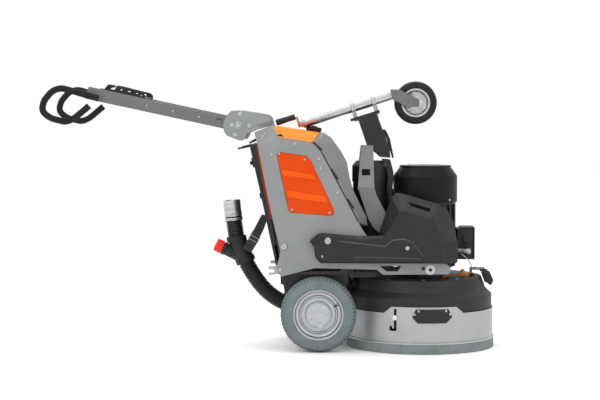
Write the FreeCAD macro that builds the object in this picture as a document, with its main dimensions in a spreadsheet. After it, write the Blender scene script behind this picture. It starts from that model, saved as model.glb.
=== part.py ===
import FreeCAD, Part
import math
import os
import Sketcher

# A walk-behind planetary concrete grinder. Millimetres; +X is the front (grinding head), +Z up
# and +Y the machine's left side; the origin is on the floor under the middle.

V = FreeCAD.Vector
doc = FreeCAD.newDocument("concrete_grinder")
sheet = doc.addObject("Spreadsheet::Sheet", "Dims")

DIMENSIONS = {
    # wheels and axle
    "wheel_x": 220, "wheel_radius": 170, "rim_radius": 108.5, "wheel_inner_y": 212, "wheel_outer_y": 298,
    "axle_radius": 20, "axle_clear": 0.05,
    # frame sheets
    "plate_outer_y": 250, "plate_thick": 5, "bracket_outer_y": 212,
    "cover_outer_y": 300, "cover_thick": 4,
    # pivot that carries the grinding head and the transport arm
    "pivot_x": 719, "pivot_z": 368, "pivot_radius": 12, "pivot_clear": 0.05,
    # handle
    "handle_x": -138, "handle_z": 1013, "handle_slope": 12.2, "arm_length": 690, "arm_depth": 56,
    "arm_width": 30, "arm_outer_y": 205, "grip_y": 234, "grip_radius": 14.6,
    # grinding head
    "head_x": 688, "skirt_radius": 334.5, "skirt_thick": 2, "skirt_low": 40, "skirt_high": 180,
    "tab_high": 209, "rubber_radius": 339, "rubber_low": 2, "rubber_high": 48,
    "head_cover_radius": 329, "deck_radius": 292, "deck_z": 322,
    "carrier_radius": 290, "disc_radius": 115, "disc_orbit": 185, "spindle_radius": 18,
    "belt_pulley_radius": 40, "belt_gap": 0.3, "belt_thick": 4,
    # motors
    "motor_x": 711, "motor_radius": 150, "cowl_radius": 146.5, "cowl_low": 665, "motor_top": 827,
    "small_motor_x": 459, "small_motor_radius": 84, "small_motor_top": 848,
    # transport arm
    "tube_radius": 24, "tube_bore": 20, "tube_length": 415, "tube_slope": 17.65,
    "jockey_radius": 98, "leg_inner_y": 174, "leg_outer_y": 182,
    # dust hose
    "hose_radius": 38, "hose_bore": 34,
}

for row, (alias, value) in enumerate(DIMENSIONS.items(), start=1):
    sheet.set("A%d" % row, alias.replace("_", " "))
    sheet.set("B%d" % row, str(value))
    sheet.setAlias("B%d" % row, alias)
doc.recompute()


def dim(alias):
    """A driving dimension, read back from the sheet."""
    return float(getattr(sheet, alias))


def bind(feature, prop, value):
    """Set a size by an expression: text reads the sheet, a number is a plain detail size."""
    feature.setExpression(prop, value if isinstance(value, str) else repr(float(value)))


def corner_edges(points):
    """Edges of a closed outline. A point (x, y, r) has its corner rounded to radius r."""
    starts, ends, arcs = [], [], []
    count = len(points)
    for i, point in enumerate(points):
        here = V(point[0], point[1], 0)
        before = V(points[i - 1][0], points[i - 1][1], 0)
        after = V(points[(i + 1) % count][0], points[(i + 1) % count][1], 0)
        radius = point[2] if len(point) > 2 else 0
        if not radius:
            starts.append(here)
            ends.append(here)
            arcs.append(None)
            continue
        inward, outward = (before - here).normalize(), (after - here).normalize()
        half = inward.getAngle(outward) / 2
        reach = radius / math.tan(half)
        first, last = here + inward * reach, here + outward * reach
        centre = here + (inward + outward).normalize() * (radius / math.sin(half))
        middle = centre + (here - centre).normalize() * radius
        starts.append(first)
        ends.append(last)
        arcs.append(Part.Arc(first, middle, last))
    edges = []
    for i in range(count):
        if arcs[i]:
            edges.append(arcs[i])
        following = starts[(i + 1) % count]
        if (ends[i] - following).Length > 1e-6:
            edges.append(Part.LineSegment(ends[i], following))
    return edges


def circle(x, y, radius):
    """A round outline for a sketch; its radius is a number or an expression."""
    return {"x": x, "y": y, "radius": radius}


def inset(points, depth):
    """The outline moved inwards by a depth, corner radii kept; the points run anticlockwise."""
    moved = []
    count = len(points)
    for i, point in enumerate(points):
        here = V(point[0], point[1], 0)
        into = (here - V(points[i - 1][0], points[i - 1][1], 0)).normalize()
        onward = (V(points[(i + 1) % count][0], points[(i + 1) % count][1], 0) - here).normalize()
        side_in, side_on = V(-into.y, into.x, 0), V(-onward.y, onward.x, 0)
        shift = (side_in + side_on) * (depth / (1 + side_in.dot(side_on)))
        moved.append((here.x + shift.x, here.y + shift.y) + tuple(point[2:]))
    return moved


def mirror_side(low, high, side):
    """A stretch of Y measured outwards from the middle, put on side -1 or +1."""
    if side > 0:
        return low, high
    return tuple("-(%s)" % v if isinstance(v, str) else -v for v in (high, low))


class Piece:
    """A PartDesign body built feature by feature on its own origin planes."""

    def __init__(self, label, at=(0, 0, 0), axis=(0, 0, 1)):
        self.label = label
        self.body = doc.addObject("PartDesign::Body", label)
        self.body.Label = label
        self.body.AllowCompound = True
        turn = FreeCAD.Rotation(V(0, 0, 1), V(*axis))
        base = [value if not isinstance(value, str) else 0 for value in at]
        self.body.Placement = FreeCAD.Placement(V(*base), turn)
        for value, letter in zip(at, "xyz"):
            if isinstance(value, str):
                self.body.setExpression("Placement.Base." + letter, value)
        self.count = 0

    def sketch(self, role, loops, level=0):
        """Closed loops on one origin plane, raised along its normal to a level."""
        self.count += 1
        sketch = self.body.newObject("Sketcher::SketchObject", "%s_sketch%d" % (self.label, self.count))
        plane = next(f for f in self.body.Origin.OriginFeatures if f.Role == role)
        sketch.AttachmentSupport = [(plane, "")]
        sketch.MapMode = "FlatFace"
        bind(sketch, "AttachmentOffset.Base.z", level)
        for loop in loops:
            if isinstance(loop, dict):
                self.round_loop(sketch, loop)
            else:
                sketch.addGeometry(corner_edges(loop), False)
        return sketch

    def round_loop(self, sketch, loop):
        """A circle in a sketch, with a radius constraint that follows its expression."""
        radius = loop["radius"]
        value = float(sketch.evalExpression(radius)) if isinstance(radius, str) else radius
        index = sketch.addGeometry(Part.Circle(V(loop["x"], loop["y"], 0), V(0, 0, 1), value), False)
        place = sketch.addConstraint(Sketcher.Constraint("Radius", index, value))
        if isinstance(radius, str):
            sketch.setExpression("Constraints[%d]" % place, radius)

    def extrude(self, role, loops, low, high, cut=False):
        """Pad or pocket between two levels along X, Y or Z, whichever the plane faces."""
        start, end = mirror_side(low, high, -1) if role == "XZ_Plane" else (low, high)
        kind = "PartDesign::Pocket" if cut else "PartDesign::Pad"
        sketch = self.sketch(role, loops, start)
        feature = self.body.newObject(kind, "%s_feature%d" % (self.label, self.count))
        feature.Profile = sketch
        bind(feature, "Length", "(%s) - (%s)" % (end, start))
        feature.Reversed = cut
        return self

    def pad(self, role, loops, low, high):
        return self.extrude(role, loops, low, high)

    def cut(self, role, loops, low, high):
        """Cut between two levels, and make sure that something was cut."""
        doc.recompute()
        before = self.body.Shape.Volume
        self.extrude(role, loops, low, high, cut=True)
        doc.recompute()
        if not self.body.Shape.Volume < before - 0.01:
            raise ValueError(self.label + ": a pocket cuts nothing")
        return self

    def turn(self, profile, cut=False):
        """Revolve an (r, z) outline about the body's own Z axis."""
        sketch = self.sketch("XZ_Plane", [profile])
        kind = "PartDesign::Groove" if cut else "PartDesign::Revolution"
        feature = self.body.newObject(kind, "%s_feature%d" % (self.label, self.count))
        feature.Profile = sketch
        feature.ReferenceAxis = (sketch, ["V_Axis"])
        feature.Angle = 360
        return self


def shaped(label, shape):
    """A piece whose shape comes straight from Part's own functions."""
    feature = doc.addObject("Part::Feature", label)
    feature.Label = label
    refined = shape.removeSplitter()
    feature.Shape = refined if refined.isValid() else shape
    return feature


def solid_loft(sections):
    """A ruled solid through closed polygons given as lists of (x, y, z)."""
    wires = [Part.makePolygon([V(*p) for p in list(pts) + [pts[0]]]) for pts in sections]
    return Part.makeLoft(wires, True, True)


def slab(points, thick):
    """A flat sheet: corners (x, y, z) laid into the plane of the first three, thickened towards Y = 0."""
    corners = [V(*p) for p in points]
    across = (corners[1] - corners[0]).cross(corners[2] - corners[0]).normalize()
    corners = [c - across * (c - corners[0]).dot(across) for c in corners]
    face = Part.Face(Part.makePolygon(corners + [corners[0]]))
    normal = face.normalAt(0, 0)
    if normal.y * points[0][1] > 0:
        normal = -normal
    return face.extrude(normal * thick)


def prism(points, low, high):
    """An (x, z) outline stretched from one Y to another."""
    face = Part.Face(Part.makePolygon([V(x, low, z) for x, z in list(points) + [points[0]]]))
    return face.extrude(V(0, high - low, 0))


def pipe(route, radius, bore=0):
    """A round tube along a route of points, with an arc at every turn."""
    def swept(r):
        edges = []
        start = V(*route[0])
        for i in range(1, len(route) - 1):
            here, before, after = V(*route[i]), V(*route[i - 1]), V(*route[i + 1])
            back, on = (before - here), (after - here)
            reach = 0.45 * min(back.Length, on.Length)
            back.normalize()
            on.normalize()
            half = back.getAngle(on) / 2
            first, last = here + back * reach, here + on * reach
            bend = reach * math.tan(half)
            centre = here + (back + on).normalize() * (bend / math.sin(half))
            middle = centre + (here - centre).normalize() * bend
            edges.append(Part.LineSegment(start, first).toShape())
            edges.append(Part.Arc(first, middle, last).toShape())
            start = last
        edges.append(Part.LineSegment(start, V(*route[-1])).toShape())
        wire = Part.Wire(edges)
        along = V(*route[1]) - V(*route[0])
        ring = Part.Wire(Part.makeCircle(r, V(*route[0]), along))
        return wire.makePipeShell([ring], True, False)
    outer = swept(radius)
    return outer.cut(swept(bore)) if bore else outer


def rod(start, end, radius, bore=0):
    """A straight round bar or tube between two points."""
    a, b = V(*start), V(*end)
    bar = Part.makeCylinder(radius, (b - a).Length, a, b - a)
    if bore:
        bar = bar.cut(Part.makeCylinder(bore, (b - a).Length, a, b - a))
    return bar


def fuse(shapes):
    return shapes[0].multiFuse(shapes[1:])


PLATE_OUT, PLATE_IN = dim("plate_outer_y"), dim("plate_outer_y") - dim("plate_thick")
PX, PZ = dim("pivot_x"), dim("pivot_z")
HX = dim("head_x")

# ---- chassis: sheet-metal frame, cabinet and covers ----

SIDE_OUTLINE = [(-49, 917), (-12, 724), (17, 591), (46, 470), (49, 450), (46, 424), (35, 387), (39, 353, 8),
                (54, 337, 8), (114, 353), (205, 375), (481, 369), (509, 346), (799, 348, 12), (812, 369, 8),
                (799, 390, 8), (435, 520, 20), (393, 585), (234, 888, 12), (216, 911, 15), (189, 936, 20),
                (47, 958)]
PANEL_OUTLINE = [(85, 635, 12), (94, 623, 12), (284, 608, 14), (293, 626, 14), (184, 861, 14),
                 (162, 877, 16), (30, 896, 14)]
BEAM_WINDOW = [(524, 361), (573, 361), (590, 385), (493, 385)]


def side_plate(name, side):
    """Cabinet side and head beam cut from one sheet, with its panel, beam and pivot holes."""
    low, high = mirror_side("Dims.plate_outer_y - Dims.plate_thick", "Dims.plate_outer_y", side)
    plate = Piece(name)
    plate.pad("XZ_Plane", [SIDE_OUTLINE, PANEL_OUTLINE, BEAM_WINDOW,
                           circle(PX, PZ, "Dims.pivot_radius + 0.5"), circle(688, 374, 9)], low, high)
    return plate


def side_panels():
    """Two screwed-in panels with two raised ribs each."""
    panels = Piece("side_panels")
    for side in (-1, 1):
        low, high = mirror_side("Dims.plate_outer_y - Dims.plate_thick - 1", "Dims.plate_outer_y", side)
        panels.pad("XZ_Plane", [inset(PANEL_OUTLINE, 1.5)], low, high)
        low, high = mirror_side("Dims.plate_outer_y - 1", "Dims.plate_outer_y + 2.5", side)
        panels.pad("XZ_Plane", [[(58, 790), (212, 768), (199, 794), (52, 816)]], low, high)
        panels.pad("XZ_Plane", [[(79, 692), (265, 666), (253, 697), (72, 723)]], low, high)
    return panels


def pivot_brackets():
    """Bent sheets that rise from the side plates and hold the handle pivot."""
    outer = dim("bracket_outer_y")
    outline = [(-171, 1076, 14), (-194, 1050, 10), (-207, 1013, 10), (-202, 983, 8), (-189, 965, 8),
               (-133, 943, 8),
               (-115, 944, 6), (-98, 975, 6), (-69, 987), (12, 1013), (3, 1047, 12), (-17, 1060, 8),
               (-133, 1078, 10)]
    brackets = []
    for side in (-1, 1):
        low, high = sorted((side * (outer - dim("plate_thick")), side * outer))
        face = Part.Face(Part.Wire([e.toShape() for e in corner_edges(outline)]))
        face.rotate(V(0, 0, 0), V(1, 0, 0), 90)
        face.translate(V(0, low, 0))
        plate = face.extrude(V(0, high - low, 0))
        foot = slab([(-49, side * PLATE_OUT, 917), (47, side * PLATE_OUT, 958),
                     (12, side * outer, 1013), (-67, side * outer, 979)], dim("plate_thick"))
        foot = foot.cut(prism([p[:2] for p in SIDE_OUTLINE], *mirror_side(PLATE_IN, PLATE_OUT, side)))
        pivot = Part.makeCylinder(15.05, 700, V(dim("handle_x"), -350, dim("handle_z")), V(0, 1, 0))
        brackets.append(plate.fuse(foot).cut(pivot))
    return shaped("pivot_brackets", Part.makeCompound(brackets))


def cabinet_shell():
    """The electrical cabinet: floor, roof, walls and front, open at the back for its door panel."""
    outline = [(-44, 915), (50, 395), (200, 380), (335, 380), (335, 640), (330, 700), (232, 880),
               (200, 925), (44, 950)]
    cavity = [(-60, 910), (42, 400), (200, 386), (329, 386), (329, 638), (324, 696), (228, 876), (197, 919),
              (44, 944)]
    shell = Piece("cabinet_shell")
    shell.pad("XZ_Plane", [outline], -243.5, 243.5)
    shell.cut("XZ_Plane", [cavity], -240, 240)
    return shell


def inverter_unit():
    """The frequency converter on the cabinet floor, with cooling fins at its back."""
    unit = Piece("inverter_unit")
    unit.pad("XY_Plane", [[(100, -130), (300, -130), (300, 130), (100, 130)]], 402, 600)
    unit.pad("XY_Plane", [[(205, -120), (300, -120), (300, 120), (205, 120)]], 386, 403)
    for i in range(9):
        y = -120 + 30 * i
        unit.pad("XY_Plane", [[(88, y - 2), (101, y - 2), (101, y + 2), (88, y + 2)]], 404, 590)
    return unit


def rear_panel():
    """The slanted back panel that closes the cabinet."""
    panel = Piece("rear_panel")
    panel.pad("XZ_Plane", [[(-88, 926, 6), (-42, 724), (30, 386, 4), (42, 386), (-4, 610), (-68, 926, 6)]],
              -236, 236)
    return panel


def top_cover():
    """Folded cover between the side plates, under the stowed tube."""
    lower = [(40, -250, 960), (189, -250, 937), (189, 250, 937), (40, 250, 960)]
    upper = [(16, -206, 1008), (225, -200, 977), (225, 200, 977), (16, 206, 1008)]
    shell = solid_loft([lower, upper])
    lower_in = [(40, -246, 957), (189, -246, 934), (189, 246, 934), (40, 246, 957)]
    upper_in = [(17, -202, 1004), (224, -196, 973), (224, 196, 973), (17, 202, 1004)]
    feet = doc.getObject("pivot_brackets").Shape
    return shaped("top_cover", shell.cut(solid_loft([lower_in, upper_in])).cut(feet))


def front_cover():
    """Cover over the cabinet front, with a channel for the small motor."""
    nose = [(227, 976), (244, 976), (280, 951), (326, 887), (348, 846), (360, 777), (377, 720), (408, 655),
            (436, 600), (440, 560)]
    crown = prism(nose + [(400, 560), (340, 640), (235, 860), (200, 925)], -190, 190)
    hollow = prism([(x - 5, z - 3) for x, z in nose] + [(395, 560), (340, 640), (235, 860), (200, 925)],
                   -186, 186)
    hollow = hollow.cut(Part.makeBox(210, 226, 410, V(342, -113, 535)))
    wings = []
    for side in (-1, 1):
        near = [(x, side * 190, z) for x, z in nose]
        hem = [(194, 938), (214, 920), (228, 905), (240, 885), (258, 848), (290, 787), (320, 730),
               (355, 665),
               (385, 608), (400, 580)]
        far = [(x, side * 250, z) for x, z in hem]
        back_near = [(400, side * 190, 555), (235, side * 190, 860), (200, side * 190, 925)]
        back_far = [(394, side * 250, 570), (235, side * 250, 874), (190, side * 250, 930)]
        wings.append(solid_loft([near + back_near, far + back_far]))
    cover = fuse([crown] + wings)
    channel = Part.makeBox(200, 216, 400, V(347, -108, 540))
    cabinet = prism([(100, 300), (336, 300), (336, 641), (331, 702), (233, 882), (201, 927), (100, 927)],
                    -252, 252)
    plates = prism(inset([p[:2] for p in SIDE_OUTLINE], -2), -251, 251)
    lips = plates.cut(Part.makeBox(2000, 486, 1500, V(-500, -243, 0)))
    return shaped("front_cover", cover.cut(fuse([channel, hollow])).cut(cabinet).cut(lips))


def side_cover(name, side):
    """Moulded plastic cover over the beam and beside the main motor, a shell open inwards."""
    low_part = [(230, 401), (832, 398), (840, 406), (840, 501), (760, 530), (490, 522), (409, 518),
                (341, 524),
                (237, 533), (221, 531), (181, 497), (201, 474), (206, 426)]
    rim = [(490, 520), (840, 490), (834, 539), (819, 592), (796, 634), (758, 660), (593, 707), (568, 710),
           (545, 691)]
    face = [(500, 500), (772, 440), (764, 490), (757, 524), (745, 558), (731, 592), (610, 630), (592, 634),
            (580, 628)]
    middle = [(230, 401), (785, 399), (793, 408), (791, 488), (756, 524)] + low_part[5:]
    low_face = [(240, 409), (762, 406), (773, 417), (770, 480), (752, 520), (490, 513), (409, 509),
                (341, 515),
                (241, 523), (226, 520), (193, 494), (211, 471), (216, 430)]
    recess = [(376, 429), (680, 429), (682, 440), (655, 497), (636, 501), (557, 512), (526, 486),
              (492, 493),
              (376, 497)]
    out, thick = dim("cover_outer_y"), dim("cover_thick")

    def form(grow):
        """The cover's outer skin moved inwards by a depth."""
        levels = [(254, low_part), (out - 14, middle), (out, low_face)]
        base = solid_loft([[(x, side * (y - grow), z) for x, z in inset(loop, grow)] for y, loop in levels])
        bulge = solid_loft([[(x, side * (y - grow), z) for x, z in inset(loop, grow)]
                            for y, loop in [(205, rim), (out, face)]])
        return base.fuse(bulge)
    hand_slot = prism([(631, 653), (712, 627), (722, 641), (622, 670)], *mirror_side(200, 320, side))
    dished = prism(recess, *mirror_side(out - 2, out + 1, side))
    return shaped(name, form(0).cut(form(thick)).cut(hand_slot).cut(dished))


def base_frame():
    """Floor tray, cross tubes and the two-prong tie-down hooks at the back."""
    tray = Part.makeBox(275, 480, 5, V(70, -240, 352))
    tubes = [rod((335, -245, 363), (335, 245, 363), 10), rod((120, -245, 363), (120, 245, 363), 10)]
    hooks = []
    for y in (-150, 140):
        hook = prism([(-6, 331), (38, 338), (110, 345), (110, 375), (38, 377), (-6, 372)], y, y + 10)
        hooks.append(hook.cut(prism([(-10, 345), (14, 345), (22, 352), (14, 359), (-10, 359)], y - 1,
                                    y + 11)))
    return shaped("base_frame", fuse([tray] + tubes + hooks))


def axle_brackets():
    """Plates under the floor tray, each with the stub axle of its wheel."""
    brackets = Piece("axle_brackets", at=("Dims.wheel_x", 0, "Dims.wheel_radius"))
    outline = [(-167, 182), (-148, 67), (-30, -35, 30), (30, -35, 30), (130, 109), (113, 182)]
    for side in (-1, 1):
        low, high = mirror_side(190, 200, side)
        brackets.pad("XZ_Plane", [outline], low, high)
        low, high = mirror_side(199, 282, side)
        brackets.pad("XZ_Plane", [circle(0, 0, "Dims.axle_radius")], low, high)
        low, high = mirror_side(199, 210, side)
        brackets.pad("XZ_Plane", [circle(0, 0, 32)], low, high)
    return brackets


def pivot_pins():
    """The pins that carry the head and the transport arm, with a washer outside each plate."""
    pins = Piece("pivot_pins", at=("Dims.pivot_x", 0, "Dims.pivot_z"))
    for side in (-1, 1):
        low, high = mirror_side(156, "Dims.plate_outer_y + 2", side)
        pins.pad("XZ_Plane", [circle(0, 0, "Dims.pivot_radius")], low, high)
        low, high = mirror_side("Dims.plate_outer_y", "Dims.plate_outer_y + 4", side)
        pins.pad("XZ_Plane", [circle(0, 0, 22), circle(0, 0, 8)], low, high)
    return pins


def tube_rest():
    """Rubber cradle under the stowed tube."""
    rest = Piece("tube_rest")
    rest.pad("XZ_Plane", [[(165, 986.1), (226, 977.1), (232, 1010, 3), (198, 1006), (165, 996, 3)]], -32,
             32)
    return rest


# ---- dust hose ----

PORT_TOP, PORT_FOOT = (-180, 0, 666), (-173, 0, 604)
HOSE_UPPER = [(-172.83, 0, 602.5), (-167.02, 0, 551), (-158, 0, 492)]
Y_TOP, Y_FOOT = (-158, 0, 492), (-113, 0, 377)
HOSE_LOWER = [(-113, 0, 377), (-62, 0, 285), (25, 0, 205), (130, 0, 166), (225, 0, 190),
              (310, 0, 280), (375.5, 0, 280)]


def hose_coupling():
    """Bright socket that the vacuum's hose pushes into."""
    collar = rod(PORT_FOOT, (-172.1, 0, 596), 40, dim("hose_radius") + 0.05)
    return shaped("hose_coupling", rod(PORT_TOP, PORT_FOOT, 40, 35).fuse(collar))


def hose_upper():
    hose = pipe(HOSE_UPPER, dim("hose_radius"), dim("hose_bore"))
    return shaped("hose_upper", hose.cut(rod(Y_TOP, Y_FOOT, 42)))


def hose_y_piece():
    """Y-piece with a branch up and back."""
    main = rod(Y_TOP, Y_FOOT, 42)
    branch = rod((-140, 0, 405), (-222, 0, 446), 27)
    hollow = rod(Y_TOP, Y_FOOT, 36).fuse(rod((-140, 0, 405), (-222, 0, 446), 23))
    return shaped("hose_y_piece", main.fuse(branch).cut(hollow))


def hose_cap():
    """Cap on the spare branch, a plug with a flange."""
    return shaped("hose_cap", rod((-222, 0, 446), (-254, 0, 462),
                                  29).fuse(rod((-206, 0, 438), (-223, 0, 446.5), 22.9)))


def hose_lower():
    hose = pipe(HOSE_LOWER, dim("hose_radius"), dim("hose_bore"))
    return shaped("hose_lower", hose.cut(rod(Y_TOP, Y_FOOT, 42)))


def hose_strap():
    """Webbing that hangs the hose from the back panel."""
    strap = Piece("hose_strap")
    strap.pad("XZ_Plane", [[(-18.5, 604), (-33, 567), (-73, 486), (-95.6, 452.5), (-94, 450), (-71, 484),
                            (-31, 566), (-16, 604)]], -25, 25)
    return strap


# ---- controls on the back panel; local Z points out of the panel ----

PANEL_NORMAL = (-0.9756, 0, -0.2194)


def panel_point(height, out=0):
    """A point on the back panel's face at a height, moved out along its normal."""
    x = -42 - (height - 724) * (46 / 202)
    return (x + PANEL_NORMAL[0] * out, height + PANEL_NORMAL[2] * out)


def panel_control(name, y, height, profile):
    x, z = panel_point(height)
    return Piece(name, at=(x, y, z), axis=PANEL_NORMAL).turn(profile)


# ---- drive wheels ----

def wheel(side, word):
    """Tyre, rim with closed hub, and the pull-pin that locks the rim to the drive."""
    middle = side * 255
    at = ("Dims.wheel_x", middle, "Dims.wheel_radius")
    outward = (0, side, 0)
    radius, rim = dim("wheel_radius"), dim("rim_radius")
    Piece("tyre_" + word, at=at, axis=outward).turn(
        [(rim, -38), (rim + 12, -42, 6), (radius - 22, -42, 14), (radius - 3, -30, 8), (radius, 0, 60),
         (radius - 3, 30, 8), (radius - 22, 42, 14), (rim + 12, 42, 6), (rim, 38)])
    bore = dim("axle_radius") + dim("axle_clear")
    hub = Piece("wheel_disc_" + word, at=at, axis=outward)
    hub.turn([(bore, -40), (34, -40), (34, 6), (92, 6), (98, -38), (rim, -38), (rim, 38), (102, 38),
              (96, 14), (60, 14), (52, 36), (0, 36), (0, 30), (bore, 30)])
    pin_x, pin_z = dim("wheel_x") + 8, radius - 47
    drill = doc.addObject("Part::Cylinder", "pin_drill_" + word)
    drill.Radius = 5.05
    drill.Height = 60
    drill.Placement = FreeCAD.Placement(V(pin_x, middle, pin_z), FreeCAD.Rotation(V(0, 0, 1), V(*outward)))
    rim_cut = doc.addObject("Part::Cut", "rim_" + word)
    rim_cut.Label = "rim_" + word
    rim_cut.Base = hub.body
    rim_cut.Tool = drill
    Piece("hub_pin_" + word, at=(pin_x, middle, pin_z), axis=outward).turn(
        [(0, 10), (5, 10), (5, 38), (13, 38), (14, 40), (14, 44), (0, 44)])


# ---- handle ----

def along_handle(s, lift=0, y=0):
    """A point s along the handle arm from its pivot, lifted across the arm."""
    slope = math.radians(dim("handle_slope"))
    return (dim("handle_x") - s * math.cos(slope) + lift * math.sin(slope), y,
            dim("handle_z") - 2 + s * math.sin(slope) + lift * math.cos(slope))


def handle_frame():
    """Two box arms with cross tubes, the pivot tube and the clamps for the grips."""
    half, outer, wide = dim("arm_depth") / 2, dim("arm_outer_y"), dim("arm_width")
    corners = [(-34, -half), (-34, half), (dim("arm_length"), half), (dim("arm_length") + 6, -half)]
    outline = [along_handle(s, lift)[0::2] for s, lift in corners]
    solids = []
    for side in (-1, 1):
        arm = prism(outline, *mirror_side(outer - wide, outer, side))
        notch = [along_handle(s, lift)[0::2] for s, lift in [(76, 5), (76, 12), (104, 12), (104, 5)]]
        solids.append(arm.cut(prism(notch, *mirror_side(outer - 8, outer + 1, side))))
        clamp = [along_handle(s, lift)[0::2] for s, lift in [(640, -24), (640, 2), (690, 2), (690, -24)]]
        solids.append(prism(clamp, *mirror_side(outer - 1, dim("grip_y") - 10, side)))
    pivot = (dim("handle_x"), dim("handle_z"))
    solids.append(rod((pivot[0], -211, pivot[1]), (pivot[0], 211, pivot[1]), 15))
    for s in (330, 600):
        solids.append(rod(along_handle(s, 0, -180), along_handle(s, 0, 180), 16))
    return shaped("handle_frame", fuse(solids).cut(Part.makeCompound(grip_loops())))


GRIP_ROUTE = [(-760, 1131), (-925, 1178), (-965, 1165), (-1004, 1120), (-1013, 1075), (-975, 1043),
              (-905, 1026),
              (-868, 1042), (-802, 1097)]


def grip_loops():
    """The two looped tubes of the hand grips."""
    y = dim("grip_y")
    return [pipe([(x, side * y, z) for x, z in GRIP_ROUTE], dim("grip_radius")) for side in (-1, 1)]


def handle_grips():
    """Looped hand grips, one on each arm."""
    return shaped("handle_grips", Part.makeCompound(grip_loops()))


def remote_tray():
    """Tray for the remote control on top of the arms: a floor and two cheeks with windows."""
    cheek = [(-744, 1171), (-723, 1195), (-701, 1192), (-569, 1159), (-559, 1149), (-558, 1131)]
    window = [(-715, 1174), (-700, 1181), (-660, 1172), (-664, 1164)]
    window2 = [(-640, 1158), (-634, 1165), (-590, 1154), (-592, 1147)]
    solids = []
    for side in (-1, 1):
        side_sheet = prism(cheek, *mirror_side(168, 172, side))
        for hole in (window, window2):
            side_sheet = side_sheet.cut(prism(hole, *mirror_side(160, 180, side)))
        solids.append(side_sheet)
    floor = [(-744, 1171), (-742, 1175), (-557, 1135), (-558, 1131)]
    solids.append(prism(floor, -170, 170))
    return shaped("remote_tray", fuse(solids))


# ---- grinding head ----

def head_frame():
    """Cast head: plate, bearing tower, suction port, motor foot and the lugs on the pivot pins."""
    disc = Part.makeCylinder(300, 12, V(HX, 0, 200))
    tower = Part.makeCylinder(112, 118, V(HX, 0, 212))
    bore = Part.makeCylinder(60.05, 60, V(HX, 0, 195))
    room = Part.makeCylinder(62, 70, V(HX, 0, 255))
    shapes = [disc, tower]
    for side in (-1, 1):
        outline = [(640, 212), (800, 212), (760, 372), (745, 394), (719, 400), (693, 394), (678, 372)]
        shapes.append(prism(outline, *mirror_side(158, 168, side)))
    foot = Part.makeCylinder(58, 168, V(dim("small_motor_x") + 20, 0, 212))
    pivot = Part.makeCylinder(dim("pivot_radius") + dim("pivot_clear"), 400, V(PX, -200, PZ), V(0, 1, 0))
    shaft_room = Part.makeCylinder(20, 90, V(dim("motor_x"), 0, 250))
    gear_case = Part.makeBox(180, 300, 56, V(380, -150, 322))
    port = rod((376, 0, 280), (428, 0, 280), 39).fuse(Part.makeBox(26, 60, 60, V(402, -30, 205)))
    port = port.cut(rod((376, 0, 280), (420, 0, 280), 33))
    return shaped("head_frame", fuse(shapes + [foot, port, gear_case]).cut(fuse([bore, pivot, room,
                                                                                 shaft_room])))


def head_cover():
    """Moulded cover of the head: wall, shoulder and raised deck, with slots for the lugs."""
    r, deck, top = dim("head_cover_radius"), dim("deck_radius"), dim("deck_z")
    turned = Piece("head_cover_form", at=("Dims.head_x", 0, 0))
    turned.turn([(r - 4, 183), (r, 183), (r, 240, 10), (deck + 8, 268, 8), (deck - 12, top, 10), (116, top),
                 (116, top - 4), (deck - 15, top - 4), (deck + 4, 264), (r - 4, 237)])
    slots = Piece("head_cover_slots")
    for side in (-1, 1):
        low, high = mirror_side(154, 172, side)
        slots.pad("XY_Plane", [[(630, low), (810, low), (810, high), (630, high)]], 250, 340)
    slots.pad("XY_Plane", [circle(dim("small_motor_x") + 20, 0, 64)], 230, 340)
    slots.pad("XZ_Plane", [[(300, 242), (430, 242), (430, 324), (300, 324)]], -41, 41)
    cut = doc.addObject("Part::Cut", "head_cover")
    cut.Label = "head_cover"
    cut.Base = turned.body
    cut.Tool = slots.body
    return cut


def skirt_ring():
    """Steel skirt with raised flanks and the J-slots that it is lifted by."""
    r, low, high, tab = (dim(n) for n in ("skirt_radius", "skirt_low", "skirt_high", "tab_high"))
    ring = Part.makeCylinder(r, tab - low, V(HX, 0, low)).cut(
        Part.makeCylinder(r - dim("skirt_thick"), tab - low, V(HX, 0, low)))
    for sign in (-1, 1):
        away = prism([(HX + sign * 360, high), (HX + sign * 176, high), (HX + sign * 143, tab + 1),
                      (HX + sign * 360, tab + 1)], -360, 360)
        ring = ring.cut(away)
    slot = prism([(536, 102), (566, 102), (566, 200), (555, 200), (555, 113), (547, 113), (547, 124),
                  (536, 124)],
                 -360, 360)
    return shaped("skirt_ring", ring.cut(slot))


def skirt_rubber():
    """Brush-edged rubber strip clamped round the skirt."""
    strip = Piece("skirt_rubber", at=("Dims.head_x", 0, 0))
    inner, outer = dim("skirt_radius"), dim("rubber_radius")
    strip.turn([(inner, dim("rubber_low")), (outer, dim("rubber_low")), (outer, dim("rubber_high")),
                (inner, dim("rubber_high"))])
    return strip


def skirt_handles():
    """Grip plates on both flanks of the skirt."""
    outline = [(634, 166), (658, 139), (786, 139), (812, 166), (796, 200), (650, 200)]
    r = dim("skirt_radius")
    wall = Part.makeCylinder(r + 5, 100, V(HX, 0, 120)).cut(Part.makeCylinder(r, 100, V(HX, 0, 120)))
    return shaped("skirt_handles", wall.common(prism(outline, -360, 360)))


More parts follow.
